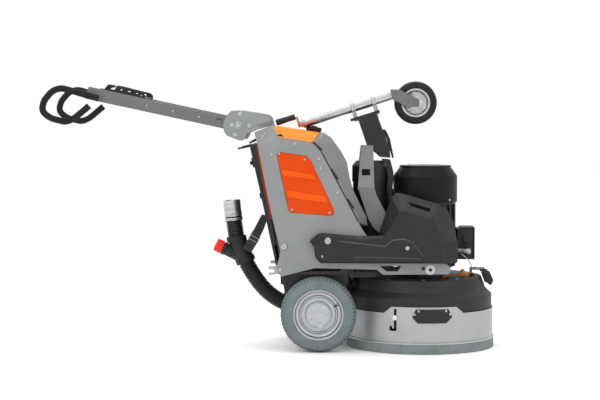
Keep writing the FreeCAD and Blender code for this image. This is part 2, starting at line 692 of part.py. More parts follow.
def skirt_knobs():
    """Knobs in the J-slots; their pins hold the skirt up."""
    knobs = []
    for side in (-1, 1):
        y = side * math.sqrt(dim("skirt_radius") ** 2 - 128 ** 2)
        outward = V(560 - HX, y, 0).normalize()
        at = V(560.5, y, 161)
        knobs.append(Part.makeCylinder(3.5, 26, at - outward * 24, outward).fuse(
            Part.makeCylinder(11, 3, at + outward * 1.2, outward)))
        boss = V(560.5, y, 161) - outward * 34
        knobs[-1] = knobs[-1].fuse(Part.makeCylinder(9, 28, boss, outward)).fuse(
            Part.makeCylinder(7, 42.9, boss + outward * 4 + V(0, 0, -4), V(0, 0, 1)))
    return shaped("skirt_knobs", Part.makeCompound(knobs))


def main_motor():
    """Finned motor housing standing on the head's tower."""
    motor = Piece("main_motor", at=("Dims.motor_x", 0, 0))
    r = dim("motor_radius")
    motor.turn([(24, 330), (104, 330), (104, 352), (r - 10, 366), (r - 10, 660), (100, 660), (100, 372),
                (24, 372)])
    for i in range(24):
        angle = 2 * math.pi * i / 24
        along, across = V(math.cos(angle), math.sin(angle), 0), V(-math.sin(angle), math.cos(angle), 0)
        corners = [along * (r - 12) - across * 2.5, along * r - across * 2.5, along * r + across * 2.5,
                   along * (r - 12) + across * 2.5]
        if abs(angle) < 0.5 or angle > 2 * math.pi - 0.5:
            continue
        motor.pad("XY_Plane", [[(c.x, c.y) for c in corners]], 372, 652)
    return motor


def fan_cowl():
    """Pressed cowl over the motor's fan."""
    cowl = Piece("fan_cowl", at=("Dims.motor_x", 0, 0))
    r, top = dim("cowl_radius"), dim("motor_top")
    cowl.turn([(r - 3, 661), (r, 661), (r, 778, 8), (118, 818), (118, top, 3), (0, top), (0, top - 4),
               (114, top - 4),
               (114, 816), (r - 3, 776)])
    return cowl


def motor_rotor():
    """Rotor, fan and pinion on one shaft."""
    rotor = Piece("motor_rotor", at=("Dims.motor_x", 0, 0))
    rotor.turn([(0, 226), (14.7, 226), (14.7, 250), (12, 250), (12, 400), (90, 400), (90, 600), (14, 600),
                (14, 690),
                (120, 690), (120, 698), (40, 698), (40, 740), (0, 740)])
    return rotor


def terminal_box():
    """Connection box with its lid, plug and cable elbow."""
    box = Piece("terminal_box")
    box.pad("XY_Plane", [[(852, -60, 6), (929, -60, 6), (929, 60, 6), (852, 60, 6)]], 398, 539)
    box.pad("XZ_Plane", [[(871, 540), (930, 540), (930, 397), (934, 397), (934, 545), (871, 545)]], -62, 62)
    box.pad("XZ_Plane", [circle(897, 493, 18)], -64, -60)
    box.pad("XZ_Plane", [circle(903, 436, 14)], -80, -60)
    return box


def planet_motor():
    """Small upright motor that turns the planetary head."""
    motor = Piece("planet_motor", at=("Dims.small_motor_x", 0, 0))
    r, top = dim("small_motor_radius"), dim("small_motor_top")
    motor.turn([(0, 381), (58, 381), (58, 400), (r - 4, 408), (r - 4, 752), (r, 752), (r, 824),
                (r - 17, top, 3), (0, top)])
    return motor


def sun_drum():
    """Drum that the motor pinion drives from inside, with its shaft and belt pulley."""
    drum = Piece("sun_drum", at=("Dims.head_x", 0, 0))
    pulley = dim("belt_pulley_radius")
    drum.turn([(0, 142), (pulley, 142), (pulley, 168), (15, 168), (15, 214), (46, 214), (46, 248),
               (38, 248), (38, 220),
               (0, 220)])
    return drum


def planet_carrier():
    """Rotating pan that carries the three disc spindles, with its hub tube."""
    carrier = Piece("carrier_form", at=("Dims.head_x", 0, 0))
    r = dim("carrier_radius")
    carrier.turn([(0, 100), (r, 100), (r, 180), (60, 180), (60, 245), (50, 245), (50, 174), (r - 6, 174),
                  (r - 6, 110),
                  (0, 110)])
    holes = Piece("carrier_holes", at=("Dims.head_x", 0, 0))
    for i in range(3):
        x, y = disc_centre(i)
        holes.pad("XY_Plane", [circle(x, y, dim("spindle_radius") + 0.05)], 90, 120)
    cut = doc.addObject("Part::Cut", "planet_carrier")
    cut.Label = "planet_carrier"
    cut.Base = carrier.body
    cut.Tool = holes.body
    return cut


def disc_centre(i):
    """Centre of a grinding disc, relative to the head's axis."""
    angle = math.radians(120 * i)
    return dim("disc_orbit") * math.cos(angle), dim("disc_orbit") * math.sin(angle)


def belt_level(i):
    """Underside of a disc's belt; each disc's belt runs at its own height."""
    return 143 + 8 * i


def grinding_disc(i):
    """Tool holder with its ring of diamond segments, spindle and belt pulley."""
    x, y = disc_centre(i)
    disc = Piece("grinding_disc_%d" % (i + 1), at=(HX + x, y, 0))
    r, spindle, pulley = dim("disc_radius"), dim("spindle_radius"), dim("belt_pulley_radius")
    low = belt_level(i)
    disc.turn([(0, 14), (r, 14), (r, 26), (60, 30), (40, 60), (spindle, 60), (spindle, low), (pulley, low),
               (pulley, low + 7), (0, low + 7)])
    for k in range(6):
        angle = math.radians(60 * k)
        disc.pad("XY_Plane", [circle(92 * math.cos(angle), 92 * math.sin(angle), 20)], 0, 14)
    return disc


def drive_belts():
    """Three flat belts, each round the sun pulley and one disc pulley."""
    belts = []
    inner = dim("belt_pulley_radius") + dim("belt_gap")
    outer = inner + dim("belt_thick")
    for i in range(3):
        x, y = disc_centre(i)
        low = belt_level(i) + 1

        def loop(r):
            span = Part.makeBox(dim("disc_orbit"), 2 * r, 5, V(0, -r, low))
            span.rotate(V(0, 0, 0), V(0, 0, 1), 120 * i)
            ends = [Part.makeCylinder(r, 5, V(0, 0, low)), Part.makeCylinder(r, 5, V(x, y, low))]
            return fuse([span] + ends)
        belt = loop(outer).cut(loop(inner))
        belt.translate(V(HX, 0, 0))
        belts.append(belt)
    return shaped("drive_belts", Part.makeCompound(belts))


def water_fitting():
    """Brass inlet for mist water on the deck."""
    parts = [Part.makeBox(42, 26, 14, V(868, -60, 322)), rod((880, -47, 336), (880, -47, 349), 9),
             rod((900, -47, 330), (918, -47, 330), 7)]
    return shaped("water_fitting", fuse(parts))


def lamp_bracket():
    """Folded bracket and bolt that hold the work lamp."""
    sheet_top = Part.makeBox(61, 90, 4, V(920, -45, 349))
    leg = Part.makeBox(4, 90, 30, V(920, -45, 322))
    ears = [Part.makeBox(22, 4, 20, V(968, y, 333)) for y in (-45, 41)]
    pin = rod((990, -46, 335), (990, 46, 335), 3.95)
    tips = [Part.makeBox(14, 4, 18, V(985, y, 327)) for y in (-45, 41)]
    return shaped("lamp_bracket", fuse([sheet_top, leg] + ears + tips + [pin]))


def work_lamp():
    """Slanted lamp with a front lens face."""
    lamp = Piece("work_lamp")
    lamp.pad("XZ_Plane", [[(976, 338), (992, 346, 3), (1003, 341, 3), (1023, 299, 3), (1014, 277, 3),
                           (1000, 282)],
                          circle(990, 335, 4)], -40, 40)
    return lamp


# ---- transport arm ----

def along_tube(s, lift=0, y=0):
    """A point s along the stowed tube from its crank end, lifted across it."""
    slope = math.radians(dim("tube_slope"))
    return (149 + s * math.cos(slope) - lift * math.sin(slope), y,
            1021 + s * math.sin(slope) + lift * math.cos(slope))


COLUMN_OUTLINE = [(402, 1038), (487, 1065), (498, 1030), (546, 905), (548, 862), (500, 866), (443, 918)]
LEVER_PIVOT = (523, 984)


def jockey_column():
    """Column with the plate that the tube is clamped on and the lugs of the release lever."""
    plate = [along_tube(s, lift)[0::2] for s, lift in [(212, -61), (212, -49), (350, -49), (350, -61)]]
    x, z = LEVER_PIVOT
    shapes = [prism(COLUMN_OUTLINE, -48, 48), prism(plate, -45, 45), rod((x, -20, z), (x, 20, z), 3)]
    for side in (-1, 1):
        lug = [(x - 20, z + 6), (x, z + 7), (x + 7, z), (x, z - 7), (x - 16, z - 9)]
        shapes.append(prism(lug, *mirror_side(15, 20, side)))
    return shaped("jockey_column", fuse(shapes))


def jockey_legs():
    """The two legs of the arm: spread outwards at the top, then straight down to the pivot pins."""
    lower_outline = [(397, 733), (471, 733), (480, 700), (545, 575), (741, 388), (747, 368), (738, 348),
                     (719, 340),
                     (700, 347), (470, 548), (445, 590)]
    window = Part.makeBox(38, 400, 28, V(416, -200, 785))
    pivot = Part.makeCylinder(dim("pivot_radius") + dim("pivot_clear"), 600, V(PX, -300, PZ), V(0, 1, 0))
    legs = []
    for side in (-1, 1):
        inner, outer = side * dim("leg_inner_y"), side * dim("leg_outer_y")
        upper = slab([(415, side * 49, 919), (470, side * 49, 919), (471, outer, 726), (397, outer, 726)],
                     8)
        lower = prism(lower_outline, *sorted((inner, outer)))
        legs.append(upper.fuse(lower).cut(pivot).cut(window).cut(prism(COLUMN_OUTLINE, -48, 48)))
    return shaped("jockey_legs", Part.makeCompound(legs))


def jockey_tube():
    """Clamped tube with its two saddle clamps."""
    length = dim("tube_length")
    tube = rod(along_tube(0), along_tube(length), dim("tube_radius"), dim("tube_bore"))
    nut = rod(along_tube(-10), along_tube(0), 18, 8.05)
    clamps = []
    for s in (238, 338):
        band = rod(along_tube(s - 4), along_tube(s + 4), dim("tube_radius") + 6, dim("tube_radius"))
        saddle = [along_tube(s + ds, lift)[0::2] for ds, lift in [(-9, -49), (9, -49), (9, -22), (-9, -22)]]
        saddle_bar = prism(saddle, -20, 20).cut(rod(along_tube(s - 20), along_tube(s + 20),
                                                    dim("tube_radius")))
        clamps.append(band.fuse(saddle_bar))
    return shaped("jockey_tube", fuse([tube, nut] + clamps))


def jockey_crank():
    """Crank with its threaded spindle and hand grip."""
    spindle = rod(along_tube(-26), along_tube(330), 8)
    hub = rod(along_tube(-26), along_tube(-12), 14)
    arm = rod(along_tube(-19, 2, -5), along_tube(-19, 38, -97), 6)
    grip = rod(along_tube(-112, 37.5, -93), along_tube(-22, 37.5, -93), 14.5)
    return shaped("jockey_crank", fuse([spindle, hub, arm, grip]))


def jockey_stem():
    """Sliding inner tube with its collar."""
    length = dim("tube_length")
    tube = rod(along_tube(120), along_tube(length + 8), dim("tube_bore") - 0.05, 8.5)
    collar = rod(along_tube(length + 1), along_tube(length + 10), 22)
    return shaped("jockey_stem", tube.fuse(collar))


def jockey_fork():
    """Swivelling fork of the transport wheel."""
    length = dim("tube_length")
    yoke = [along_tube(s, lift)[0::2] for s, lift in [(length + 10.5, -22), (length + 10.5, 22),
                                                      (length + 24, 22),
                                                      (length + 14, -22)]]
    cheek = [along_tube(s, lift)[0::2] for s, lift in [(length + 11, -24), (length + 11, 24),
                                                       (length + 50, 12),
                                                       (length + 125, -60), (length + 112, -92),
                                                       (length + 60, -74)]]
    crown = prism(yoke, -36, 36)
    cheeks = [prism(cheek, *mirror_side(30, 36, side)) for side in (-1, 1)]
    bore_at = JOCKEY_CENTRE
    hub = Part.makeCylinder(8, 80, V(bore_at[0], -40, bore_at[1]), V(0, 1, 0))
    return shaped("jockey_fork", fuse([crown] + cheeks + [hub]))


JOCKEY_CENTRE = (665, 1113)


def jockey_wheel():
    """Solid-tyred transport wheel with a pressed rim."""
    r = dim("jockey_radius")
    wheel_form = Piece("jockey_wheel", at=(JOCKEY_CENTRE[0], 0, JOCKEY_CENTRE[1]), axis=(0, 1, 0))
    wheel_form.turn([(8.05, -27), (16, -27), (18, -6), (52, -6), (58, -22), (r - 12, -24, 8), (r, -10, 8),
                     (r, 10, 8),
                     (r - 12, 24, 8), (58, 22), (52, 6), (18, 6), (16, 27), (8.05, 27)])
    return wheel_form


def arm_lever():
    """Release lever on the column."""
    lever = Piece("arm_lever")
    x, z = LEVER_PIVOT
    lever.pad("XZ_Plane", [[(533, 947), (544, 915), (558, 860), (566, 862), (553, 925), (549, 945),
                            (531, 985, 3),
                            (x, z + 7, 3), (x - 6, z, 3)], circle(x, z, 3.05)], -14, 14)
    return lever


# ---- the assembly ----

side_plate("side_plate_left", -1)
side_plate("side_plate_right", 1)
for build in (side_panels, pivot_brackets, cabinet_shell, inverter_unit, rear_panel, top_cover, front_cover,
              base_frame, axle_brackets, pivot_pins, tube_rest, hose_coupling, hose_upper, hose_y_piece,
              hose_cap, hose_lower, hose_strap):
    build()
side_cover("side_cover_left", -1)
side_cover("side_cover_right", 1)
panel_control("main_switch", -60, 842, [(0, 0.3), (24, 0.3), (24, 4), (22, 14), (9, 14), (8, 24), (0, 24)])
panel_control("stop_button", -60, 690, [(0, 5), (15, 5), (15, 9), (12, 14), (0, 14)])
wheel(-1, "left")
wheel(1, "right")
for build in (handle_frame, handle_grips, remote_tray, head_frame, head_cover, skirt_ring, skirt_rubber,
              skirt_handles, skirt_knobs, main_motor, fan_cowl, motor_rotor, terminal_box, planet_motor,
              sun_drum,
              planet_carrier, drive_belts, water_fitting, lamp_bracket, work_lamp, jockey_column,
              jockey_legs, jockey_tube,
              jockey_crank, jockey_stem, jockey_fork, jockey_wheel, arm_lever):
    build()
for i in range(3):
    grinding_disc(i)
doc.recompute()

HELPERS = ("_form", "_slots", "_holes")
NODES = [obj for obj in doc.Objects
         if obj.TypeId in ("PartDesign::Body", "Part::Feature", "Part::Cut")
         and not obj.Label.endswith(HELPERS) and not obj.Label.startswith("wheel_disc")]

for obj in doc.Objects:
    if "Invalid" in obj.State or "Error" in obj.State:
        raise ValueError(obj.Label + " did not recompute")
os.makedirs("parts", exist_ok=True)
for obj in NODES:
    shape = obj.Shape
    if shape.isNull() or not shape.isValid() or not shape.Solids:
        raise ValueError(obj.Label + " has no valid solid")
    shape.exportStep(os.path.join("parts", obj.Label + ".step"))
print(len(NODES), "pieces")
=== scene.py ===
import math

import bmesh
import bpy
from mathutils import Matrix, Vector


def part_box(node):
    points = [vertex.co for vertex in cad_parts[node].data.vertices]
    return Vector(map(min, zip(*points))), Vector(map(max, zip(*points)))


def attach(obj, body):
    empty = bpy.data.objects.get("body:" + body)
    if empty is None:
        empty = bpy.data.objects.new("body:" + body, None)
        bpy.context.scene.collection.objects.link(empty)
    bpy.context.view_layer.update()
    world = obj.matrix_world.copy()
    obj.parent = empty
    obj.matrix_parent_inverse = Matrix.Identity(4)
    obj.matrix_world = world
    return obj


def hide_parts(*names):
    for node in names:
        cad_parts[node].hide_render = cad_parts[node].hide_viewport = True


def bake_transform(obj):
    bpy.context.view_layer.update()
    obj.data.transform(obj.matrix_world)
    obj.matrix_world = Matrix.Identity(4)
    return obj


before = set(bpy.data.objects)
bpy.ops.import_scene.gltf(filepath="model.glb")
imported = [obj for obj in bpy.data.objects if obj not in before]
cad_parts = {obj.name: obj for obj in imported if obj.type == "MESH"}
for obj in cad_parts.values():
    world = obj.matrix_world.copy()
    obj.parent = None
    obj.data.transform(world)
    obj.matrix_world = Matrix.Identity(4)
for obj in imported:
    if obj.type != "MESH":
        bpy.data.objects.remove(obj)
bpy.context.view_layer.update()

PI = math.pi

# ---- camera ----
EYE = Vector((0.227, -7.3, 1.062))
LOOK_AT = Vector((0.135, 0.0, 0.666))
camera_data = bpy.data.cameras.new("camera")
camera_data.lens = 95.2
camera_data.sensor_width = 36
camera = bpy.data.objects.new("camera", camera_data)
camera.location = EYE
camera.rotation_euler = (LOOK_AT - EYE).to_track_quat("-Z", "Y").to_euler()
bpy.context.collection.objects.link(camera)
bpy.context.scene.camera = camera


# ---- materials ----

class Shader:
    """A Principled material put together from a few procedural layers in object coordinates."""

    def __init__(self, name, roughness=0.5, metallic=0.0, **settings):
        self.material = bpy.data.materials.new(name)
        self.material.use_nodes = True
        self.nodes = self.material.node_tree.nodes
        self.links = self.material.node_tree.links
        self.bsdf = self.nodes["Principled BSDF"]
        self.bsdf.inputs["Roughness"].default_value = roughness
        self.bsdf.inputs["Metallic"].default_value = metallic
        for socket, value in settings.items():
            self.bsdf.inputs[socket.replace("_", " ")].default_value = value
        self.coords = self.nodes.new("ShaderNodeTexCoord").outputs["Object"]
        self.height = None

    def stretched(self, scale):
        node = self.nodes.new("ShaderNodeMapping")
        node.inputs["Scale"].default_value = scale
        self.links.new(self.coords, node.inputs["Vector"])
        return node.outputs["Vector"]

    def noise(self, size, detail=4, stretch=(1, 1, 1)):
        """Noise whose features are about `size` metres across."""
        node = self.nodes.new("ShaderNodeTexNoise")
        node.inputs["Scale"].default_value = 1 / size
        node.inputs["Detail"].default_value = detail
        self.links.new(self.stretched(stretch), node.inputs["Vector"])
        return node.outputs["Fac"]

    def cells(self, size):
        node = self.nodes.new("ShaderNodeTexVoronoi")
        node.inputs["Scale"].default_value = 1 / size
        self.links.new(self.coords, node.inputs["Vector"])
        return node.outputs["Distance"]

    def waves(self, size, direction):
        node = self.nodes.new("ShaderNodeTexWave")
        node.bands_direction = direction
        node.inputs["Scale"].default_value = 0.314 / size
        self.links.new(self.coords, node.inputs["Vector"])
        return node.outputs["Fac"]

    def ramp(self, value, stops):
        node = self.nodes.new("ShaderNodeValToRGB")
        elements = node.color_ramp.elements
        for i, (place, colour) in enumerate(stops):
            element = elements[i] if i < 2 else elements.new(place)
            element.position = place
            element.color = (*colour, 1) if len(colour) == 3 else colour
        self.links.new(value, node.inputs["Fac"])
        return node.outputs["Color"]

    def mix(self, factor, a, b):
        node = self.nodes.new("ShaderNodeMix")
        node.data_type = "RGBA"
        self.links.new(factor, node.inputs["Factor"])
        for value, socket in ((a, node.inputs[6]), (b, node.inputs[7])):
            if isinstance(value, (tuple, list)):
                socket.default_value = (*value, 1)
            else:
                self.links.new(value, socket)
        return node.outputs[2]

    def edges(self, reach=0.002):
        """1 on sharp outer edges, from the bevel node, else 0."""
        bevel = self.nodes.new("ShaderNodeBevel")
        bevel.inputs["Radius"].default_value = reach
        geometry = self.nodes.new("ShaderNodeNewGeometry")
        dot = self.nodes.new("ShaderNodeVectorMath")
        dot.operation = "DOT_PRODUCT"
        self.links.new(bevel.outputs["Normal"], dot.inputs[0])
        self.links.new(geometry.outputs["Normal"], dot.inputs[1])
        spread = self.nodes.new("ShaderNodeMapRange")
        spread.inputs["From Min"].default_value = 0.98
        spread.inputs["From Max"].default_value = 0.8
        self.links.new(dot.outputs["Value"], spread.inputs["Value"])
        return spread.outputs["Result"]

    def colour(self, value):
        if isinstance(value, (tuple, list)):
            self.bsdf.inputs["Base Color"].default_value = (*value, 1)
        else:
            self.links.new(value, self.bsdf.inputs["Base Color"])
        return self

    def rough(self, value, low, high):
        spread = self.nodes.new("ShaderNodeMapRange")
        spread.inputs["To Min"].default_value = low
        spread.inputs["To Max"].default_value = high
        self.links.new(value, spread.inputs["Value"])
        self.links.new(spread.outputs["Result"], self.bsdf.inputs["Roughness"])
        return self

    def bump(self, value, depth, strength=0.4):
        node = self.nodes.new("ShaderNodeBump")
        node.inputs["Strength"].default_value = strength
        node.inputs["Distance"].default_value = depth
        self.links.new(value, node.inputs["Height"])
        if self.height:
            self.links.new(self.height, node.inputs["Normal"])
        self.height = node.outputs["Normal"]
        self.links.new(self.height, self.bsdf.inputs["Normal"])
        return self


def shade(colour, factor):
    return tuple(min(1.0, c * factor) for c in colour)


def paint(name, colour, roughness=0.38, metallic=0.0, wear=(0.5, 0.5, 0.5), specular=0.35):
    """Powder coat: fine orange peel, faint cloudiness and rubbed edges."""
    s = Shader(name, roughness, metallic, Specular_IOR_Level=specular)
    cloudy = s.ramp(s.noise(0.09, 5), [(0.3, shade(colour, 0.95)), (0.7, shade(colour, 1.05))])
    dusty = s.mix(s.ramp(s.noise(0.012, 8), [(0.58, (0, 0, 0)), (0.8, (0.22,) * 3)]), cloudy,
                  shade(colour, 0.82))
    s.colour(s.mix(s.ramp(s.edges(), [(0.45, (0, 0, 0)), (0.9, (0.4,) * 3)]), dusty, wear))
    s.rough(s.noise(0.03, 6), roughness - 0.07, roughness + 0.1)
    return s.bump(s.noise(0.0022, 3), 0.0003).material


def plastic(name, colour, roughness=0.5, specular=0.3):
    """Moulded plastic with a spark-eroded grain and its edges painted lighter as a painted highlight."""
    s = Shader(name, roughness, Specular_IOR_Level=specular)
    tone = s.ramp(s.noise(0.05, 6), [(0.3, shade(colour, 0.85)), (0.7, shade(colour, 1.2))])
    # edges mixed to a lighter colour: painted highlight
    s.colour(s.mix(s.edges(0.003), tone, shade(colour, 1.7)))
    s.rough(s.noise(0.02, 6), roughness - 0.08, roughness + 0.12)
    return s.bump(s.cells(0.0016), 0.00025, 0.3).material


def metal(name, colour, roughness=0.3, stretch=(1, 1, 1), streak=0.003, blotch=0.02, contrast=1.0):
    """Bare metal: drawn or turned streaks over faint blotches."""
    s = Shader(name, roughness, 1.0)
    base = s.ramp(s.noise(blotch, 6), [(0.3, shade(colour, 1 - 0.2 * contrast)),
                                       (0.7, shade(colour, 1 + 0.12 * contrast))])
    s.colour(s.mix(s.ramp(s.noise(streak, 5, stretch), [(0.4, (0, 0, 0)), (0.75, (0.3,) * 3)]), base,
                   shade(colour, 1 - 0.3 * contrast)))
    s.rough(s.noise(streak, 5, stretch), roughness - 0.08 * contrast, roughness + 0.16 * contrast)
    return s.bump(s.noise(streak, 5, stretch), 0.00015, 0.25).material


def rubber(name, colour, roughness=0.72, dusty=0.15, specular=0.25):
    """Rubber with fine pitting and pale dust in its pores."""
    s = Shader(name, roughness, Specular_IOR_Level=specular)
    tone = s.ramp(s.noise(0.04, 6), [(0.3, shade(colour, 0.85)), (0.7, shade(colour, 1.1))])
    s.colour(s.mix(s.ramp(s.noise(0.006, 9), [(0.5, (0, 0, 0)), (0.85, (dusty,) * 3)]), tone,
                   (0.5, 0.5, 0.48)))
    s.rough(s.noise(0.02, 5), roughness - 0.08, roughness + 0.12)
    return s.bump(s.noise(0.0012, 4), 0.0003, 0.35).material


def foam(name, colour):
    """Closed-cell foam grip."""
    s = Shader(name, 0.85, Specular_IOR_Level=0.2)
    s.colour(s.ramp(s.cells(0.0018), [(0.1, shade(colour, 0.6)), (0.6, shade(colour, 1.5))]))
    return s.bump(s.cells(0.0018), 0.0006, 0.6).material


def webbing(name, colour):
    """Woven strap: ribs across and along."""
    s = Shader(name, 0.8, 0.0, Sheen_Weight=0.4)
    across, along = s.waves(0.0016, "Y"), s.waves(0.0022, "Z")
    s.colour(s.ramp(across, [(0.2, shade(colour, 0.7)), (0.8, shade(colour, 1.8))]))
    return s.bump(across, 0.0004, 0.5).bump(along, 0.0003, 0.5).material


M = {
    "frame": paint("frame_grey_paint", (0.215, 0.222, 0.228), 0.45, 0.1, (0.30, 0.31, 0.32)),
    "cover": paint("cover_grey_paint", (0.165, 0.170, 0.175), 0.42, 0.1, (0.25, 0.26, 0.27)),
    "orange": paint("orange_paint", (0.58, 0.050, 0.0005), 0.5, 0.0, (0.85, 0.16, 0.01), specular=0.12),
    # lighter copy of the orange paint: painted highlight on the raised panel ribs
    "orange_painted_highlight": paint("orange_rib_painted_highlight", (0.70, 0.082, 0.002), 0.5, 0.0, (0.9, 0.2, 0.02), specular=0.12),
    # brighter, yellower copy of the orange paint: painted highlight on the top cover
    "orange_top_painted_highlight": paint("orange_top_painted_highlight", (0.95, 0.21, 0.018), 0.5, 0.0, (0.95, 0.3, 0.06), specular=0.12),
    # darker copy of the orange paint: painted shade on the cabinet's orange side strips, which sit in
    # shadow behind the side plates
    "orange_painted_shade": paint("orange_in_painted_shade", (0.30, 0.022, 0.001), 0.55, 0.0, (0.35, 0.04, 0.01),
                          specular=0.1),
    "dark_grey": paint("dark_grey_paint", (0.122, 0.124, 0.128), 0.45, 0.1, (0.18, 0.18, 0.18)),
    "leg_grey": paint("leg_grey_paint", (0.145, 0.140, 0.142), 0.45, 0.1, (0.22, 0.22, 0.22)),
    "black_paint": paint("black_paint", (0.010, 0.010, 0.011), 0.42, 0.0, (0.05, 0.05, 0.05)),
    "plastic": plastic("black_moulded_plastic", (0.013, 0.0125, 0.013), 0.5),
    "cowl": plastic("cowl_plastic", (0.005, 0.005, 0.0055), 0.42, specular=0.15),
    # lighter copy of the black plastic: painted highlight for the lit lines on the side covers
    "plastic_painted_highlight": plastic("moulded_plastic_painted_highlight", (0.060, 0.058, 0.058), 0.4),
    "red": plastic("red_plastic", (0.72, 0.022, 0.005), 0.35),
    "rubber_black": rubber("black_rubber", (0.008, 0.008, 0.008), 0.6, 0.03),
    "hose": rubber("hose_rubber", (0.011, 0.011, 0.0115), 0.40, 0.03, specular=0.6),
    "rubber_grey": rubber("skirt_rubber", (0.165, 0.190, 0.190), 0.7),
    "tyre": rubber("grey_tyre", (0.135, 0.165, 0.172), 0.75),
    "foam": foam("grip_foam", (0.010, 0.010, 0.011)),
    "webbing": webbing("strap_webbing", (0.012, 0.012, 0.013)),
    "zinc": metal("zinc_plate", (0.44, 0.45, 0.46), 0.42, blotch=0.03, contrast=0.45),
    "bright": metal("bright_zinc", (0.66, 0.67, 0.68), 0.4, blotch=0.008, contrast=0.6),
    "skirt": metal("skirt_steel", (0.40, 0.405, 0.41), 0.5, (1, 1, 12), 0.02, 0.06, 0.3),
    "chrome": metal("polished_tube", (0.50, 0.50, 0.495), 0.33, blotch=0.05, streak=0.03, contrast=0.6),
    "steel": metal("turned_steel", (0.34, 0.34, 0.35), 0.35),
    "cast": metal("cast_metal", (0.06, 0.06, 0.063), 0.6, blotch=0.01),
    "brass": metal("brass", (0.55, 0.24, 0.08), 0.32),
    "copper": metal("copper", (0.62, 0.22, 0.09), 0.32),
}


def lamp_glass():
    """Pale diffusing lamp face."""
    s = Shader("lamp_face", 0.25, 0.0, Coat_Weight=0.5)
    s.colour(s.ramp(s.cells(0.008), [(0.1, (0.9, 0.9, 0.88)), (0.7, (0.65, 0.66, 0.66))]))
    return s.bump(s.cells(0.008), 0.0006, 0.5).material


M["lamp"] = lamp_glass()

NODE_LOOKS = {
    "frame": ["side_plate_left", "side_plate_right", "pivot_brackets"],
    "cover": ["front_cover"],
    "orange": ["side_panels"],
    # top cover in the brighter orange: painted highlight
    "orange_top_painted_highlight": ["top_cover"],
    "plastic": ["head_cover", "side_cover_left", "side_cover_right", "main_switch", "terminal_box",
                "remote_tray",
                "hose_y_piece", "skirt_handles"],
    "cowl": ["fan_cowl", "stop_button"],
    "black_paint": ["cabinet_shell", "rear_panel", "axle_brackets", "main_motor", "planet_motor",
                    "jockey_column",
                    "lamp_bracket", "arm_lever", "work_lamp"],
    "dark_grey": ["handle_frame", "jockey_fork"],
    "leg_grey": ["jockey_legs"],
    "zinc": ["base_frame", "rim_left", "rim_right", "hub_pin_left", "hub_pin_right", "pivot_pins"],
    "bright": ["skirt_knobs"],
    "chrome": ["jockey_tube", "jockey_stem", "hose_coupling"],
    "skirt": ["skirt_ring"],
    "rubber_grey": ["skirt_rubber"],
    "tyre": ["tyre_left", "tyre_right"],
    "rubber_black": ["tube_rest", "hose_upper", "hose_lower", "drive_belts", "jockey_wheel"],
    "foam": ["handle_grips"],
    "red": ["hose_cap"],
    "webbing": ["hose_strap"],
    "cast": ["head_frame", "inverter_unit", "sun_drum", "planet_carrier", "motor_rotor"],
    "steel": ["grinding_disc_1", "grinding_disc_2", "grinding_disc_3", "jockey_crank"],
    "brass": ["water_fitting"],
}

for look, nodes in NODE_LOOKS.items():
    for node in nodes:
        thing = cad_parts[node]
        for slot_index in range(max(1, len(thing.material_slots))):
            if thing.material_slots:
                thing.material_slots[slot_index].material = M[look]
            else:
                thing.data.materials.append(M[look])


# ---- mesh helpers, all in metres ----

def finish_mesh(bm, name, look, body, smooth=True, replaces=(), angle=35):
    """Turn a bmesh into a piece that rides on a CAD body."""
    bmesh.ops.remove_doubles(bm, verts=bm.verts, dist=1e-6)
    bmesh.ops.recalc_face_normals(bm, faces=bm.faces)
    mesh = bpy.data.meshes.new(name)
    bm.to_mesh(mesh)
    bm.free()
    piece = bpy.data.objects.new(name, mesh)
    bpy.context.collection.objects.link(piece)
    mesh.materials.append(M[look])
    mesh.polygons.foreach_set("use_smooth", [smooth] * len(mesh.polygons))
    if smooth:
        mesh.set_sharp_from_angle(angle=math.radians(angle))
    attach(piece, body)
    if replaces:
        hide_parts(*replaces)
    return piece


def frame_of(direction):
    """A rotation that takes +Z to a direction."""
    return Vector(direction).normalized().to_track_quat("Z", "Y").to_matrix()


def lathe(bm, profile, at, direction=(0, 0, 1), steps=48, ripple=None):
    """Revolve a closed (r, z) profile; `ripple(angle, r, z)` may shift the radius."""
    turn, base = frame_of(direction), Vector(at)
    rings = []
    for k in range(steps):
        angle = 2 * PI * k / steps
        ring = []
        for r, z in profile:
            reach = max(r + (ripple(angle, r, z) if ripple else 0), 0.0)
            ring.append(bm.verts.new(base + turn @ Vector((reach * math.cos(angle), reach * math.sin(angle),
                                                           z))))
        rings.append(ring)
    count = len(profile)
    for k in range(steps):
        a, b = rings[k], rings[(k + 1) % steps]
        for i in range(count):
            j = (i + 1) % count
            bm.faces.new((a[i], b[i], b[j], a[j]))
    return bm


def tube_along(bm, points, radius, steps=20, profile=None, closed=False):
    """A tube whose rings follow points; `profile(length)` gives the radius along the way."""
    points = [Vector(p) for p in points]
    rings, side, travelled = [], None, 0.0
    for i, point in enumerate(points):
        before = points[i - 1] if i or closed else points[i]
        after = points[(i + 1) % len(points)] if i < len(points) - 1 or closed else points[i]
        along = (after - before).normalized()
        if side is None:
            side = along.orthogonal().normalized()
        side = (side - along * side.dot(along)).normalized()
        up = along.cross(side)
        if i:
            travelled += (point - points[i - 1]).length
        r = profile(travelled) if profile else radius
        ring = []
        for k in range(steps):
            angle = 2 * PI * k / steps
            ring.append(bm.verts.new(point + (side * math.cos(angle) + up * math.sin(angle)) * r))
        rings.append(ring)
    spans = len(rings) if closed else len(rings) - 1
    for i in range(spans):
        a, b = rings[i], rings[(i + 1) % len(rings)]
        for k in range(steps):
            bm.faces.new((a[k], a[(k + 1) % steps], b[(k + 1) % steps], b[k]))
    if not closed:
        bm.faces.new(rings[0])
        bm.faces.new(rings[-1])
    return bm


